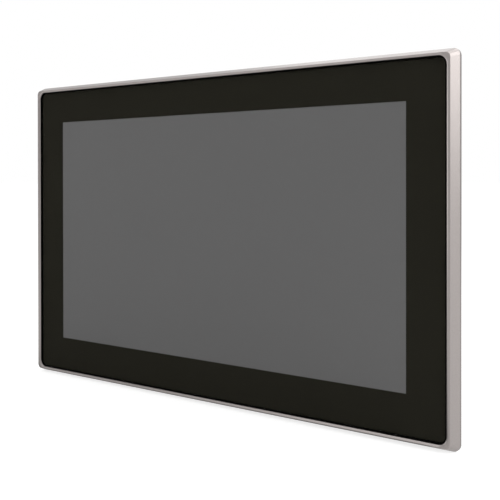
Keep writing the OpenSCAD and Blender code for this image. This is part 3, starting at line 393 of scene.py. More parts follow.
class Finish:
    """Node tree of a material or of the world, built from expressions."""

    def __init__(self, owner):
        self.owner = owner
        owner.use_nodes = True
        self.tree = owner.node_tree
        self.tree.nodes.clear()

    def node(self, kind, settings, sockets, out=0):
        """Any node: its type, its settings and the values or wires of its sockets."""
        made = self.tree.nodes.new(kind)
        for key, value in settings.items():
            setattr(made, key, value)
        for key, value in sockets.items():
            if isinstance(value, Wire):
                self.tree.links.new(value.socket, made.inputs[key])
            else:
                made.inputs[key].default_value = value
        return Wire(self, made.outputs[out]) if made.outputs else None

    def place(self):
        """Point on the piece as it was built, in metres."""
        return self.node("ShaderNodeTexCoord", {}, {}, out="Object")

    def axes(self):
        """The three coordinates of that point."""
        made = self.node("ShaderNodeSeparateXYZ", {}, {0: self.place()})
        return [Wire(self, socket) for socket in made.socket.node.outputs]

    def ramp(self, value, start, end):
        """Value that rises from 0 at start to 1 at end."""
        return self.node("ShaderNodeMapRange", {"interpolation_type": "SMOOTHSTEP"},
                         {0: value, 1: start, 2: end, 3: 0.0, 4: 1.0})

    def noise(self, size, detail=2.0, stretch=None):
        """Cloudy value from 0 to 1 with features of that size in metres."""
        where = self.place()
        if stretch:
            where = self.node("ShaderNodeVectorMath", {"operation": "MULTIPLY"}, {0: where, 1: stretch})
        return self.node("ShaderNodeTexNoise", {}, {"Vector": where, "Scale": 1 / size, "Detail": detail})

    def cells(self, size):
        """Value from 0 to 1, one for each grain of that size in metres."""
        made = self.node("ShaderNodeTexVoronoi", {}, {"Vector": self.place(), "Scale": 1 / size}, out="Color")
        return self.node("ShaderNodeSeparateXYZ", {}, {0: made})

    def blend(self, share, low, high):
        """Colour between two colours."""
        low, high = (c if isinstance(c, Wire) else (*c, 1) for c in (low, high))
        return self.node("ShaderNodeMix", {"data_type": "RGBA"}, {0: share, 6: low, 7: high}, out=2)

    def bump(self, height, depth):
        """Normal of a surface that stands up by depth metres where height is 1."""
        return self.node("ShaderNodeBump", {}, {"Strength": 1.0, "Distance": depth, "Height": height})

    def seen(self):
        """1 for rays that show the background: from the camera, from gloss or through glass."""
        path = self.node("ShaderNodeLightPath", {}, {}).socket.node.outputs
        camera, gloss, through = (
            Wire(self, path[f"Is {ray} Ray"]) for ray in ("Camera", "Glossy", "Transmission"))
        return camera.either(gloss).either(through)

    def diffuse(self, shade):
        """Dull grey of that shade."""
        return self.node("ShaderNodeBsdfDiffuse", {}, {0: (shade, shade, shade, 1)})

    def clear(self):
        """Nothing at all: light goes straight through."""
        return self.node("ShaderNodeBsdfTransparent", {}, {0: WHITE})

    def surface(self, **sockets):
        """Principled shader, with its sockets as keywords."""
        named = {key.replace("_", " ").title().replace("Ior", "IOR"): v for key, v in sockets.items()}
        return self.node("ShaderNodeBsdfPrincipled", {}, {
            key: (*value, 1) if isinstance(value, tuple) else value for key, value in named.items()})

    def mixed(self, share, first, second):
        """The first shader where share is 0 and the second where it is 1."""
        return self.node("ShaderNodeMixShader", {}, {0: share, 1: first, 2: second})

    def done(self, shader):
        """The material or world, with that shader on it."""
        kind = "World" if isinstance(self.owner, bpy.types.World) else "Material"
        self.node(f"ShaderNodeOutput{kind}", {}, {0: shader})
        return self.owner


def toned(colour, by):
    """Colour made lighter or darker by a factor."""
    return tuple(min(1.0, c * by) for c in colour)


def metal(finish, colour, rough, grain, depth, spread, cloud, stretch=None):
    """Bare or plated metal with a fine grain and a faint cloudiness, whose sizes are in millimetres."""
    fine = finish.noise(grain * MM, 3.0, stretch)
    wide = finish.noise(cloud * MM)
    tone = fine * 0.6 + wide * 0.4
    return finish.surface(
        base_color=finish.blend(tone, toned(colour, 1 - spread), toned(colour, 1 + spread)),
        metallic=1.0,
        roughness=rough - 0.06 + fine * 0.12,
        normal=finish.bump(fine, depth * MM))


def moulded(finish, colour, rough, grain, depth, spread, coat=0.0):
    """Moulded plastic or rubber with an eroded tool finish, whose sizes are in millimetres."""
    fine = finish.noise(grain * MM, 3.0)
    wide = finish.noise(20 * MM)
    tone = wide * 0.5 + fine * 0.5
    return finish.surface(
        base_color=finish.blend(tone, toned(colour, 1 - spread), toned(colour, 1 + spread)),
        roughness=rough - 0.05 + fine * 0.1,
        coat_weight=coat,
        normal=finish.bump(fine, depth * MM))


def satin_aluminium(finish, colours):
    """Blasted and anodised aluminium: sandy grain over a soft sheen, with painted shade that darkens the rim."""
    colour = tuple(colours.bezel)
    # Painted shade: the rim, the side wall behind the flank, is marked out here to be given a darker colour
    rim = finish.axes()[1] > (REAR_Y - RIM_DEPTH) * MM
    sand = finish.cells(0.35 * MM)
    fine = finish.noise(0.9 * MM, 4.0)
    wide = finish.noise(60 * MM)
    tone = sand * 0.35 + fine * 0.45 + wide * 0.2
    flank = finish.blend(tone, toned(colour, 0.88), toned(colour, 1.12))
    return finish.surface(
        # The rim takes 0.72 of the bezel colour: painted shade, not a different finish
        base_color=finish.blend(rim, flank, toned(colour, 0.72)),
        metallic=1.0,
        roughness=0.29 + sand * 0.08 + fine * 0.06,
        normal=finish.bump(sand * 0.5 + fine * 0.5, 0.012 * MM))


def clear_glass(finish, colours):
    """Etched glass: clear to look through, with a wide and weak sheen that shows at a low angle."""
    haze = finish.noise(40 * MM)
    slant = finish.node("ShaderNodeLayerWeight", {}, {"Blend": 0.5}, out="Facing")
    through = finish.clear()
    sheen = finish.node("ShaderNodeBsdfGlossy", {}, {"Color": WHITE, "Roughness": 0.5 + haze * 0.1})
    return finish.mixed(slant ** 5 * 0.04, through, sheen)


def edge_black(finish, colours):
    """Ground edge of the glass, inked black."""
    ground = finish.noise(0.3 * MM, 3.0)
    return finish.surface(
        base_color=finish.blend(ground, (0.002, 0.002, 0.0018), (0.004, 0.004, 0.0036)),
        roughness=0.7 + ground * 0.1, specular_ior_level=0.0)


def border_ink(finish, colours):
    """Screen-printed ink, dense and even."""
    colour = tuple(colours.border)
    mesh = finish.noise(0.2 * MM)
    return finish.surface(
        base_color=finish.blend(mesh, toned(colour, 0.9), toned(colour, 1.1)),
        roughness=0.6 + mesh * 0.1, specular_ior_level=0.0)


def display_face(finish, colours):
    """Grey of the switched-off display behind its bonded, matt sensor."""
    colour = tuple(colours.screen)
    matt = finish.noise(0.12 * MM)
    return finish.surface(
        base_color=finish.blend(matt, toned(colour, 0.985), toned(colour, 1.015)),
        roughness=0.62 + matt * 0.08, specular_ior_level=0.02,
        normal=finish.bump(matt, 0.002 * MM))


def powder_coat(finish, colours):
    """Fine textured powder coat on sheet steel."""
    colour = tuple(colours.housing)
    peel = finish.noise(1.1 * MM, 3.0)
    speck = finish.cells(0.5 * MM)
    wide = finish.noise(80 * MM)
    tone = peel * 0.4 + speck * 0.25 + wide * 0.35
    return finish.surface(
        base_color=finish.blend(tone, toned(colour, 0.9), toned(colour, 1.1)),
        roughness=0.5 + peel * 0.14,
        normal=finish.bump(peel * 0.7 + speck * 0.3, 0.06 * MM))


def black_casting(finish, colours):
    """Black anodised die casting: a dull, slightly sandy skin."""
    colour = tuple(colours.casting)
    sand = finish.noise(0.6 * MM, 4.0)
    wide = finish.noise(45 * MM)
    return finish.surface(
        base_color=finish.blend(sand * 0.5 + wide * 0.5, toned(colour, 0.75), toned(colour, 1.3)),
        metallic=0.35,
        roughness=0.42 + sand * 0.16,
        normal=finish.bump(sand, 0.035 * MM))


def circuit_board(finish, colours):
    """Solder mask with faint tracks under it."""
    colour = tuple(colours.board)
    track = finish.node(
        "ShaderNodeTexVoronoi", {"feature": "DISTANCE_TO_EDGE"},
        {"Vector": finish.place(), "Scale": 1 / (3.5 * MM), "Randomness": 0.35})
    line = (track < 0.09) * 0.75
    fine = finish.noise(0.4 * MM)
    return finish.surface(
        base_color=finish.blend(line + fine * 0.2, toned(colour, 0.8), toned(colour, 2.0)),
        roughness=0.34 + fine * 0.1,
        normal=finish.bump(line, 0.03 * MM))


def network_jack(finish, colours):
    """Tinned shell with a black moulded mouth."""
    x, y, _ = finish.axes()
    left, right = NETWORK_X
    low, high = NETWORK_MOUTH_Y
    off_middle = abs(x - (left + right) / 2 * MM)
    off_jack = abs(off_middle - (right - left) / 2 * MM)
    inside = (off_jack < NETWORK_MOUTH_HALF * MM) * (y > low * MM) * (y < high * MM)
    outer = 1 - inside
    fine = finish.noise(0.4 * MM, 3.0)
    return finish.surface(
        base_color=finish.blend(
            inside, finish.blend(fine, (0.52, 0.52, 0.50), (0.60, 0.59, 0.57)), (0.012, 0.012, 0.013)),
        metallic=outer,
        roughness=0.5 - outer * 0.24 + fine * 0.08,
        normal=finish.bump(fine, 0.004 * MM))


# Plain finishes: colour, roughness, size and depth of the grain in millimetres, and spread of the colour;
# then the size of the clouds and the stretch of a metal's grain, or the clear coat of a plastic
METALS = {
    "brushed_sheet": ((0.50, 0.505, 0.51), 0.36, 0.5, 0.01, 0.05, 30, (0.06, 1, 1)),
    "zinc_plate": ((0.55, 0.555, 0.54), 0.30, 0.5, 0.008, 0.1, 4),
    "nickel_plate": ((0.56, 0.55, 0.53), 0.24, 0.4, 0.004, 0.05, 6),
    "bare_brass": ((0.72, 0.52, 0.20), 0.27, 0.4, 0.006, 0.1, 5),
    "zinc_casting": ((0.34, 0.34, 0.335), 0.46, 0.7, 0.03, 0.12, 9),
}
PLASTICS = {
    "dense_foam": ((0.016, 0.016, 0.016), 0.9, 0.5, 0.12, 0.35),
    "seal_rubber": ((0.022, 0.022, 0.022), 0.68, 0.8, 0.02, 0.2),
    "foot_rubber": ((0.018, 0.018, 0.018), 0.74, 0.5, 0.02, 0.25),
    "white_plastic": ((0.76, 0.76, 0.73), 0.46, 0.4, 0.006, 0.03),
    "clear_acrylic": ((0.78, 0.82, 0.85), 0.14, 3, 0.002, 0.02, 0.5),
    "amber_film": ((0.42, 0.17, 0.025), 0.32, 0.6, 0.004, 0.15),
    "cable_sheath": ((0.02, 0.02, 0.03), 0.5, 0.6, 0.01, 0.2),
    "port_blue": ((0.012, 0.045, 0.36), 0.38, 0.3, 0.004, 0.12),
    "inlet_green": ((0.018, 0.16, 0.042), 0.40, 0.4, 0.006, 0.12),
    "black_plastic": ((0.016, 0.016, 0.017), 0.42, 0.45, 0.012, 0.2),
    "chip_epoxy": ((0.022, 0.022, 0.024), 0.55, 0.25, 0.006, 0.2),
    "socket_plastic": ((0.60, 0.56, 0.44), 0.48, 0.4, 0.006, 0.05),
    "silicone_pad": ((0.48, 0.27, 0.30), 0.7, 0.7, 0.02, 0.1),
}
SPECIAL = {make.__name__: make for make in (
    satin_aluminium, clear_glass, edge_black, border_ink, display_face, powder_coat, black_casting,
    circuit_board, network_jack)}
# Slots whose finish has a name of its own
FINISHES = {
    "bezel_aluminium": "satin_aluminium", "cover_glass": "clear_glass", "sensor_glass": "display_face",
    "display_glass": "display_face", "black_foam": "dense_foam", "sheet_steel": "brushed_sheet",
    "flex_film": "amber_film", "housing_steel": "powder_coat", "cast_black": "black_casting",
    "zinc_screws": "zinc_plate", "brass_parts": "bare_brass", "port_shells": "nickel_plate",
    "clamp_zinc": "zinc_casting",
}


def painted(slot):
    """Material of a slot, or of a finish by its own name, made once."""
    name = FINISHES.get(slot, slot)
    label = f"{name}_finish"
    found = bpy.data.materials.get(label)
    if found:
        return found
    finish = Finish(bpy.data.materials.new(label))
    if name in METALS:
        shader = metal(finish, *METALS[name])
    elif name in PLASTICS:
        shader = moulded(finish, *PLASTICS[name])
    else:
        shader = SPECIAL[name](finish, bpy.context.scene.finish_colours)
    return finish.done(shader)


# Meshes


class Mould:
    """Points and faces of one piece, in millimetres of the part's frame."""

    def __init__(self):
        self.points = []
        self.faces = []

    def loft(self, rings, loop=False, place=None):
        """Skin over rings with equal numbers of points: a closed tube, or a solid with flat ends."""
        base, count = len(self.points), len(rings[0])
        for ring in rings:
            self.points += [(place @ Vector(p)) if place else Vector(p) for p in ring]
        for i in range(len(rings) if loop else len(rings) - 1):
            a, b = base + i * count, base + (i + 1) % len(rings) * count
            self.faces += [(a + j, a + (j + 1) % count, b + (j + 1) % count, b + j) for j in range(count)]
        if not loop:
            last = base + (len(rings) - 1) * count
            self.faces += [range(base, base + count), range(last, last + count)]

    def strip(self, path, width, thick, x):
        """Flat contact along a path of depths and heights, at that x."""
        rings = []
        for i, (y, z) in enumerate(path):
            ahead = Vector(path[min(i + 1, len(path) - 1)]) - Vector(path[max(i - 1, 0)])
            side = Vector((-ahead.y, ahead.x)).normalized() * thick / 2
            rings.append([(x + sx * width / 2, y + s * side.x, z + s * side.y) for sx, s in SQUARE])
        self.loft(rings)


def finished(name, shape, slot, body=ROOT, stands_for=(), finish=None, sharp=32):
    """Object from a bmesh in metres, with its finish, its body and the solids that it stands for."""
    bmesh.ops.recalc_face_normals(shape, faces=shape.faces)
    mesh = bpy.data.meshes.new(name)
    shape.to_mesh(mesh)
    shape.free()
    mesh.shade_smooth()
    mesh.set_sharp_from_angle(angle=math.radians(sharp))
    piece = bpy.data.objects.new(name, mesh)
    flats = piece.modifiers.new("flats", "WEIGHTED_NORMAL")
    flats.keep_sharp = True
    bpy.context.scene.collection.objects.link(piece)
    mesh.materials.append(painted(finish or slot))
    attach(piece, body)
    if stands_for:
        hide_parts(*stands_for)


def cast(name, mould, slot, **said):
    """Piece from a mould."""
    mesh = bpy.data.meshes.new(name)
    mesh.from_pydata([p * MM for p in mould.points], [], [list(f) for f in mould.faces])
    shape = bmesh.new()
    shape.from_mesh(mesh)
    bpy.data.meshes.remove(mesh)
    finished(name, shape, slot, **said)


def softened(name, node, width, steps=2, bend=30, least=0, **said):
    """Piece with the shape of a solid and rounded edges, apart from edges shorter than the least."""
    shape = bmesh.new()
    shape.from_mesh(frame["nodes"][node].data)
    bmesh.ops.remove_doubles(shape, verts=shape.verts, dist=WELD)
    bmesh.ops.dissolve_limit(
        shape, angle_limit=math.radians(1), verts=shape.verts, edges=shape.edges)
    edges = [e for e in shape.edges
             if e.is_manifold and e.calc_face_angle(0) > math.radians(bend) and e.calc_length() > least]
    bmesh.ops.bevel(
        shape, geom=edges, offset=width, segments=steps, profile=0.5, affect="EDGES", clamp_overlap=False)
    bmesh.ops.remove_doubles(shape, verts=shape.verts, dist=WELD)
    finished(name, shape, SLOTS[node], stands_for=(node,), **said)


def coated(*nodes):
    """Solids that keep their own shape get their finish."""
    for node in nodes:
        mesh = frame["nodes"][node].data
        mesh.materials.clear()
        mesh.materials.append(painted(SLOTS[node]))


def rounded_ring(w, h, r, y, steps, settle=CORNER_SETTLE, shift=(0, 0)):
    """Rounded rectangle across the part at depth y, with a point on each side of every corner."""
    ring = []
    for i, (sx, sz) in enumerate(((1, 1), (-1, 1), (-1, -1), (1, -1))):
        for j in range(-1, steps + 2):
            a = math.radians(90 * (i + min(max(j, 0), steps) / steps))
            on = settle if j > steps else -settle if j < 0 else 0
            ring.append((shift[0] + sx * (w / 2 - r) + r * math.cos(a) - on * math.sin(a), y,
                         shift[1] + sz * (h / 2 - r) + r * math.sin(a) + on * math.cos(a)))
    return ring


def grown(outline, by):
    """Rounded rectangle that lies the given distance outside another."""
    w, h, r = outline
    return w + 2 * by, h + 2 * by, max(r + by, LEAST_CORNER)


def eased(profile, steps=4):
    """Rows (w, h, r, y) from rows of outline, depth and the run over which that corner is rounded."""
    rows = [Vector((*outline, y)) for outline, y, _ in profile]
    out = []
    for i, row in enumerate(rows):
        run = profile[i][2]
        if run == 0:
            out.append(row)
            continue
        ends = []
        for other in (rows[i - 1], rows[(i + 1) % len(rows)]):
            away = other - row
            length = math.hypot(away[0] / 2, away[3])
            ends.append(row + away * min(run / length, MOST_EASED))
        for k in range(steps + 1):
            t = k / steps
            out.append(ends[0] * (1 - t) ** 2 + row * (2 * t * (1 - t)) + ends[1] * t ** 2)
    return out


def framed(name, profile, steps, slot, **said):
    """Piece that runs round the front, from the rows of its section."""
    mould = Mould()
    mould.loft([rounded_ring(*row, steps) for row in eased(profile)], loop=True)
    cast(name, mould, slot, **said)


def turned_ring(radii, z, angles):
    """Ring about the piece's own Z, with a radius for each angle."""
    return [(r * math.cos(a), r * math.sin(a), z) for r, a in zip(radii, angles)]


def round_rings(rows, angles):
    """Circles about the piece's own Z, from rows of radius and height."""
    return [turned_ring([r] * len(angles), z, angles) for r, z in rows]


def all_round(count):
    """Angles in equal steps."""
    return [2 * math.pi * j / count for j in range(count)]


def facing(x, y, z, direction):
    """Place of a turned piece whose own Z axis points along direction."""
    turn = Vector(direction).to_track_quat("Z", "Y").to_matrix().to_4x4()
    return Matrix.Translation((x, y, z)) @ turn


def cross_angles(arm, span):
    """Angles that hold the corners of a cross recess, and the recess's radius at each."""
    tip = math.atan2(arm, span)
    rest = math.pi / 4 - tip
    quarter = [0, tip / 2, tip, tip + rest / 3, tip + 2 * rest / 3, math.pi / 4]
    quarter += [math.pi / 2 - a for a in reversed(quarter[1:-1])]
    angles, radii = [], []
    for k in range(4):
        for a in quarter:
            angles.append(k * math.pi / 2 + a)
            near = min(a, math.pi / 2 - a)
            radii.append(span / math.cos(near) if near <= tip else arm / math.sin(near))
    return angles, radii


def cross_head(mould, place, profile, arm, span, sink):
    """Turned screw along its own Z: profile rows from the tip up to the rim, then a cross recess."""
    angles, radii = cross_angles(arm, span)
    top = profile[-1][1]
    rings = round_rings(profile, angles)
    for scale, z in ((CROSS_MOUTH, top), (1, top - CROSS_LIP), (CROSS_FLOOR, top - sink)):
        rings.append(turned_ring([r * scale for r in radii], z, angles))
    mould.loft(rings, place=place)


def crown(side, flat, start, top, steps):
    """Quarter round from the side of a screw head to its flat top, as rows of radius and height."""
    turns = [math.pi / 2 * k / steps for k in range(steps + 1)]
    return [(flat + (side - flat) * math.cos(a), start + (top - start) * math.sin(a)) for a in turns]


def pan_head(shank):
    """Profile of a pan-head screw whose head sits on its own origin."""
    return [(1.1, -shank), (1.45, 0.4 - shank), (1.45, 0), (2.6, 0), (2.75, 0.15),
            *crown(2.75, 1.7, 0.9, 1.96, 4)]


FLAT_HEAD = [(1.1, -6.5), (1.45, -6.1), (1.45, -1.2), (2.5, -0.12), (2.56, -0.05), (2.5, 0), (1.8, 0)]
EARTH_HEAD = [(1.6, -7), (1.95, -6.5), (1.95, 0), (4.5, 0), (4.6, 0.12), (4.6, 0.68), (4.5, 0.8),
              (3.6, 0.8), (3.8, 1.0), *crown(3.8, 2.5, 2.3, 3.38, 3)]


class PieceOperator:
    """What all the operators share."""

    bl_options = {"REGISTER", "UNDO"}

    def execute(self, context):
        self.build(context.scene)
        return {"FINISHED"}


class TOUCHPANEL_OT_bezel(PieceOperator, bpy.types.Operator):
    """Build the aluminium bezel with its sloping flank, inner bevel, gasket groove and spigot"""

    bl_idname = "touch_panel.bezel"
    bl_label = "Front bezel"

    def build(self, scene):
        sizes = scene.front_sizes
        run = sizes.bezel_edge / MM
        crisp = run * 0.5
        groove = grown(GASKET, GASKET_SLACK)
        pocket = grown(GLASS, GLASS_GAP)
        profile = [
            (RIDGE, FRONT_Y, run),
            (BEZEL, REAR_Y - RIM_DEPTH, run * 1.4),
            (BEZEL, REAR_Y - RIM_CHAMFER, crisp),
            (grown(BEZEL, -RIM_CHAMFER), REAR_Y, crisp),
            (groove, REAR_Y, crisp),
            (groove, GROOVE_Y, 0),
            (grown(groove, -GROOVE_BAND), GROOVE_Y, 0),
            (grown(groove, -GROOVE_BAND), REAR_Y, crisp),
            (SPIGOT, REAR_Y, 0),
            (SPIGOT, SPIGOT_Y, run),
            (DISPLAY_ROOM, SPIGOT_Y, run),
            (DISPLAY_ROOM, LEDGE_Y, run),
            (pocket, LEDGE_Y, 0),
            (pocket, GLASS_Y, run * 0.3),
            (grown(pocket, STEP_RUN), GLASS_Y - STEP_RISE, crisp),
            (grown(pocket, BEVEL_RUN), FRONT_Y, run),
        ]
        framed("bezel_frame", profile, sizes.corner_steps, "bezel_aluminium",
               stands_for=("front_bezel",), sharp=40)


class TOUCHPANEL_OT_glass(PieceOperator, bpy.types.Operator):
    """Build the cover glass with its blackened edge and finish the print, the sensor and the display"""

    bl_idname = "touch_panel.glass"
    bl_label = "Glass and display"

    def build(self, scene):
        steps = scene.front_sizes.corner_steps
        pane = grown(GLASS, -GROUND_EDGE)
        rear = PRINT_Y - PRINT_GAP
        mould = Mould()
        mould.loft([rounded_ring(*pane, y, steps) for y in (GLASS_Y, rear)])
        cast("glass_pane", mould, "cover_glass", stands_for=("cover_glass",))

        inner = grown(pane, PRINT_GAP)
        profile = [
            (inner, GLASS_Y, PANE_ROUND),
            (grown(GLASS, -GROUND_CHAMFER), GLASS_Y, GROUND_ROUND),
            (GLASS, GLASS_Y + GROUND_CHAMFER, GROUND_ROUND),
            (GLASS, rear, 0),
            (inner, rear, 0),
        ]
        framed("glass_edge", profile, steps, "cover_glass", stands_for=("cover_glass",), finish="edge_black")

        outside = grown(GLASS, -PRINT_INSET)
        film = Mould()
        film.loft([
            rounded_ring(*outside, FILM_FRONT_Y, steps),
            rounded_ring(*outside, FILM_REAR_Y, steps),
            rounded_ring(*WINDOW, FILM_REAR_Y, steps, WINDOW_SETTLE, WINDOW_SHIFT),
            rounded_ring(*WINDOW, FILM_FRONT_Y, steps, WINDOW_SETTLE, WINDOW_SHIFT),
        ], loop=True)
        cast("ink_film", film, "border_ink")
        coated("border_print", "touch_sensor", "lcd_cell")


class TOUCHPANEL_OT_seals(PieceOperator, bpy.types.Operator):
    """Build the sealing ring with its two round beads and finish the foam and tape behind the glass"""

    bl_idname = "touch_panel.seals"
    bl_label = "Seals"

    def build(self, scene):
        sizes = scene.front_sizes
        bead = sizes.bead_round / MM
        inside = grown(GASKET, 2 * GASKET_SLACK - GROOVE_BAND)
        profile = [
            (GASKET, GROOVE_Y, 0),
            (GASKET, GASKET_HIGH.y, bead),
            (grown(GASKET, -BEAD_BAND), GASKET_HIGH.y, bead),
            (grown(GASKET, -BEAD_BAND), VALLEY_Y, VALLEY_ROUND),
            (grown(inside, BEAD_BAND), VALLEY_Y, VALLEY_ROUND),
            (grown(inside, BEAD_BAND), GASKET_HIGH.y, bead),
            (inside, GASKET_HIGH.y, bead),
            (inside, GROOVE_Y, 0),
        ]
        framed("seal_ring", profile, sizes.corner_steps, "seal_rubber",
               stands_for=("panel_gasket",), sharp=50)
        coated("glass_tape", "dust_seal")


class TOUCHPANEL_OT_housing(PieceOperator, bpy.types.Operator):
    """Build the folded housing with softened cut edges"""

    bl_idname = "touch_panel.housing"
    bl_label = "Rear housing"

    def build(self, scene):
        softened("housing_shell", "rear_housing", scene.front_sizes.sheet_edge, least=SHORTEST_SOFT * MM)


class TOUCHPANEL_OT_heatsink(PieceOperator, bpy.types.Operator):
    """Build the finned cover with cast edges"""

    bl_idname = "touch_panel.heatsink"
    bl_label = "Heat sink cover"

    def build(self, scene):
        softened("heatsink_casting", "heatsink_cover", scene.front_sizes.casting_edge)


class TOUCHPANEL_OT_fixings(PieceOperator, bpy.types.Operator):
    """Build the screws with their cross recesses"""

    bl_idname = "touch_panel.fixings"
    bl_label = "Screws"

    def build(self, scene):
        sides = []
        for s in (-1, 1):
            sides += [facing(x, SIDE_SCREW_Y, s * HOUSING_HIGH.z, (0, 0, s)) for x in SIDE_SCREW_X]
            sides += [facing(s * HOUSING_HIGH.x, SIDE_SCREW_Y, z, (s, 0, 0)) for z in SIDE_SCREW_Z]
        self.screws("countersunk_screws", "housing_screws", sides, FLAT_HEAD, FLAT_CROSS)

        cover = [facing(*seat, BACK) for seat in COVER_SCREWS]
        self.screws("long_screws", "cover_screws", cover, pan_head(LONG_SHANK), PAN_CROSS)

        inner = [facing(*seat, BACK) for seat in (*STRAP_SCREWS, *BOARD_SCREWS, STORAGE_SCREW)]
        inner += [facing(*seat, DOWN) for seat in PLATE_SCREWS]
        self.screws("short_screws", "pan_screws", inner, pan_head(SHORT_SHANK), PAN_CROSS)

        earth = [facing(*EARTH_SCREW, BACK)]
        self.screws("earth_terminal", "earth_screw", earth, EARTH_HEAD, EARTH_CROSS, slot="brass_parts")

    def screws(self, name, node, places, profile, cross, slot="zinc_screws"):
        """Piece with one like screw at each place."""
        mould = Mould()
        for place in places:
            cross_head(mould, place, profile, *cross)
        cast(name, mould, slot, stands_for=(node,))


class TOUCHPANEL_OT_ports(PieceOperator, bpy.types.Operator):
    """Build the port plate, the shells and the contacts in them"""

    bl_idname = "touch_panel.ports"
    bl_label = "Ports"

    def build(self, scene):
        edge = scene.front_sizes.sheet_edge
        softened("port_panel", "port_plate", edge)
        softened("serial_shells", "com_ports", edge)
        softened("serial_posts", "com_jackscrews", edge)
        softened("network_jacks", "lan_ports", edge, finish="network_jack")
        softened("usb_shells", "usb_ports", edge * 0.8)
        softened("supply_inlet", "dc_socket", edge * 1.6)
        coated("port_pins", "usb_tongues")

        inserts = Mould()
        half_w, half_h, slant, corner = 8.5, 4.2, 1.5, 1.6
        right = [(half_w - slant - corner, -half_h), (half_w - slant, corner - half_h),
                 (half_w, half_h - corner), (half_w - corner, half_h)]
        outline = right + [(-px, py) for px, py in reversed(right)]
        for x in SERIAL_X:
            rings = []
            for inset, rise in SERIAL_RINGS:
                scale = 1 - inset / half_h
                rings.append([(x + px * scale, SERIAL_Y + py * scale, PORT_Z - rise) for px, py in outline])
            inserts.loft(rings)
        cast("serial_inserts", inserts, "black_plastic")

        contacts = Mould()
        for ports, pins, path, blade in (
                (NETWORK_X, NETWORK_PINS, NETWORK_CONTACT, NETWORK_BLADE),
                (USB_X, USB_PINS, USB_CONTACT, USB_BLADE)):
            rows = [(y, PORT_FACE_Z + rise) for y, rise in path]
            for x in ports:
                for pin in pins:
                    contacts.strip(rows, *blade, x + pin)
        cast("port_contacts", contacts, "brass_parts")


class TOUCHPANEL_OT_buttons(PieceOperator, bpy.types.Operator):
    """Finish the power and reset buttons"""

    bl_idname = "touch_panel.buttons"
    bl_label = "Buttons"

    def build(self, scene):
        softened("power_cap", "power_button", BUTTON_EDGE * MM, bend=BUTTON_BEND, body="power_button")
        softened("reset_pin", "reset_button", BUTTON_EDGE * MM, bend=BUTTON_BEND, body="reset_button")
        coated("power_switch")


class TOUCHPANEL_OT_clamps(PieceOperator, bpy.types.Operator):
    """Build the six clamps: cast brackets, threaded socket screws and ribbed feet"""

    bl_idname = "touch_panel.clamps"
    bl_label = "Clamps"

    def build(self, scene):
        softened("clamp_castings", "clamp_brackets", CLAMP_EDGE * MM)
        pitch = scene.front_sizes.thread_pitch / MM
        for i in CLAMPS:
            x, _, z = (c / MM for c in JOINTS[f"clamp_{i}_turn"]["pos_m"])
            self.screw(i, facing(x, 0, z, BACK), pitch)
            self.foot(i, facing(x, FOOT_LOW.y, z, BACK))

    def screw(self, i, place, pitch):
        """Socket screw along its own Z, which is the part's depth."""
        angles = all_round(SCREW_SIDES)
        knurl = [KNURL_RADIUS - KNURL_DEPTH * (j % 2) for j in range(SCREW_SIDES)]
        hexagon = [SOCKET_HALF / math.cos((a + math.pi / 6) % (math.pi / 3) - math.pi / 6) for a in angles]
        rings = round_rings(SCREW_TIP, angles) + self.thread(angles, pitch) + round_rings(HEAD_BASE, angles)
        rings += [turned_ring([r - inset for r in knurl], z, angles) for inset, z in KNURL_INSETS]
        rings += round_rings(HEAD_RIM, angles)
        rings += [turned_ring([r * scale for r in hexagon], z, angles) for scale, z in SOCKET_SCALES]
        mould = Mould()
        mould.loft(rings, place=place)
        name = f"clamp_screw_{i}"
        cast(f"threaded_screw_{i}", mould, "zinc_screws", body=name, stands_for=(name,))

    def thread(self, angles, pitch):
        """Rings of the thread, which fades in and out over one turn."""
        rings = []
        for k in range(int((THREAD_END - THREAD_START) / pitch * THREAD_STEPS) + 1):
            z = THREAD_START + k * pitch / THREAD_STEPS
            fade = min(1, (z - THREAD_START) / pitch, (THREAD_END - z) / pitch)
            radii = []
            for a in angles:
                phase = (z / pitch - a / (2 * math.pi)) % 1
                flank = min(1, max(0, THREAD_PEAK - abs(4 * phase - 2) * THREAD_SLOPE))
                radii.append(THREAD_CREST - THREAD_DEPTH + THREAD_DEPTH * flank * fade)
            rings.append(turned_ring(radii, z, angles))
        return rings

    def foot(self, i, place):
        """Foot with a ringed grip face and a collar round the screw's tip."""
        mould = Mould()
        mould.loft(round_rings(GRIP_FOOT, all_round(FOOT_SIDES)), place=place)
        name = f"clamp_foot_{i}"
        cast(f"grip_foot_{i}", mould, "foot_rubber", body=name, stands_for=(name,))


class TOUCHPANEL_OT_inside(PieceOperator, bpy.types.Operator):
    """Finish the display's inner layers, the boards and the other pieces inside"""

    bl_idname = "touch_panel.inside"
    bl_label = "Inside"

    def build(self, scene):
        coated(*(name for name, node in frame["nodes"].items() if not node.hide_render))


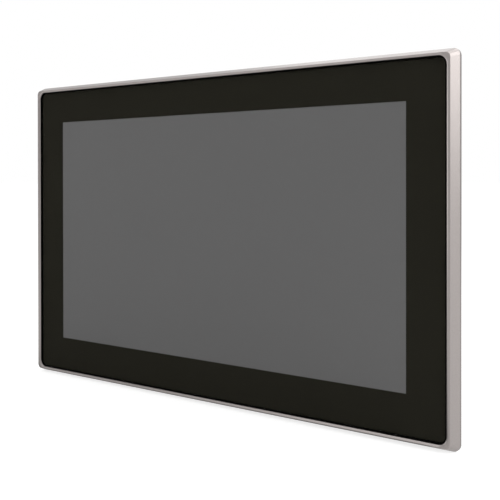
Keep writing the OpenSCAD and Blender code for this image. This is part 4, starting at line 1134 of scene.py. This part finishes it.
class TOUCHPANEL_OT_stage(PieceOperator, bpy.types.Operator):
    """Set the pale floor, the grey cards, the soft lamps and the camera"""

    bl_idname = "touch_panel.stage"
    bl_label = "Stage"

    def build(self, scene):
        light = scene.stage_light
        self.world(scene, light)
        self.floor(light)
        for name, card in CARDS.items():
            self.card(name, *card, light)
        self.lamp("key_lamp", light.key_place, light.key_power, light.key_size)
        for name, (place, size) in LAMPS.items():
            self.lamp(f"{name}_lamp", place, getattr(light, f"{name}_power"), size)
        self.camera(scene, light)
        scene.view_settings.view_transform = "Standard"

    def world(self, scene, light):
        """Even light all round, and plain white where the background is seen."""
        scene.world = bpy.data.worlds.new("studio")
        finish = Finish(scene.world)
        seen = finish.seen()
        even = finish.node("ShaderNodeBackground", {}, {0: WHITE, 1: light.daylight})
        white = finish.node("ShaderNodeBackground", {}, {0: WHITE, 1: 1.0})
        finish.done(finish.mixed(seen, even, white))

    def sheet(self, name, corners, material):
        """Flat piece of the stage with one face."""
        mesh = bpy.data.meshes.new(name)
        mesh.from_pydata(corners, [], [(0, 1, 2, 3)])
        mesh.materials.append(material)
        sheet = bpy.data.objects.new(name, mesh)
        bpy.context.scene.collection.objects.link(sheet)
        return sheet

    def floor(self, light):
        """Pale floor that takes the shadow and is clear from below."""
        finish = Finish(bpy.data.materials.new("pale_floor"))
        seen = finish.seen()
        pale = finish.diffuse(FLOOR_PALE)
        thin = finish.diffuse(FLOOR_THIN)
        glow = finish.node("ShaderNodeEmission", {}, {0: WHITE, 1: FLOOR_GLOW})
        white = finish.node("ShaderNodeAddShader", {}, {0: thin, 1: glow})
        under = finish.node("ShaderNodeNewGeometry", {}, {}, out="Backfacing")
        shader = finish.mixed(under, finish.mixed(seen, pale, white), finish.clear())
        corners = [(x * FLOOR_REACH, y * FLOOR_REACH, light.floor_height) for x, y in SQUARE]
        floor = self.sheet("floor", corners, finish.done(shader))

    def card(self, name, foot, size, soft, turn, light):
        """Grey card with soft sides that only reflections see, upright or laid flat by its turn."""
        half, height = size
        finish = Finish(bpy.data.materials.new(f"{name}_grey"))
        share = 1 - finish.ramp(abs(finish.axes()[0]), half - soft, half)
        shader = finish.mixed(share * light.card_share, finish.clear(), finish.diffuse(CARD_GREY))
        corners = [(-half, 0, 0), (half, 0, 0), (half, 0, height), (-half, 0, height)]
        card = self.sheet(name, corners, finish.done(shader))
        card.location = (*foot, light.floor_height + CARD_LIFT)
        card.rotation_euler = (math.radians(turn[0]), 0, math.radians(turn[1]))
        for ray in ("camera", "diffuse", "transmission", "shadow"):
            setattr(card, f"visible_{ray}", False)

    def lamp(self, name, place, power, size):
        """Square lamp that faces the middle of the part."""
        data = bpy.data.lights.new(name, "AREA")
        data.energy = power
        data.size = size
        lamp = bpy.data.objects.new(name, data)
        lamp.location = place
        lamp.rotation_euler = (-Vector(place)).to_track_quat("-Z", "Y").to_euler()
        bpy.context.scene.collection.objects.link(lamp)

    def camera(self, scene, light):
        """Camera of the main view."""
        data = bpy.data.cameras.new("camera")
        data.sensor_width = SENSOR_WIDTH
        data.lens = light.camera_lens
        data.shift_y = light.camera_rise
        camera = bpy.data.objects.new("camera", data)
        camera.location = light.camera_place
        camera.rotation_euler = light.camera_turn
        scene.collection.objects.link(camera)
        scene.camera = camera


OPERATORS = (
    TOUCHPANEL_OT_stage, TOUCHPANEL_OT_bezel, TOUCHPANEL_OT_glass, TOUCHPANEL_OT_seals,
    TOUCHPANEL_OT_housing, TOUCHPANEL_OT_heatsink, TOUCHPANEL_OT_fixings, TOUCHPANEL_OT_ports,
    TOUCHPANEL_OT_buttons, TOUCHPANEL_OT_clamps, TOUCHPANEL_OT_inside,
)
GROUPS = {"front_sizes": FrontSizes, "finish_colours": FinishColours, "stage_light": StageLight}


class TOUCHPANEL_PT_sidebar(bpy.types.Panel):
    """Lists the settings and the operators"""

    bl_idname = "TOUCHPANEL_PT_sidebar"
    bl_label = "Touch Panel"
    bl_space_type = "VIEW_3D"
    bl_region_type = "UI"
    bl_category = "Touch Panel"

    def draw(self, context):
        for key, group in GROUPS.items():
            box = self.layout.box()
            for name in group.__annotations__:
                box.prop(getattr(context.scene, key), name)
        for operator in OPERATORS:
            self.layout.operator(operator.bl_idname)


CLASSES = (*GROUPS.values(), *OPERATORS, TOUCHPANEL_PT_sidebar)


def register():
    for cls in CLASSES:
        bpy.utils.register_class(cls)
    for key, group in GROUPS.items():
        setattr(bpy.types.Scene, key, PointerProperty(type=group))


def unregister():
    for key in GROUPS:
        delattr(bpy.types.Scene, key)
    for cls in reversed(CLASSES):
        bpy.utils.unregister_class(cls)


def main():
    register()
    for operator in OPERATORS:
        name = operator.bl_idname.split(".")[1]
        getattr(bpy.ops.touch_panel, name)()


if __name__ == "__main__":
    main()
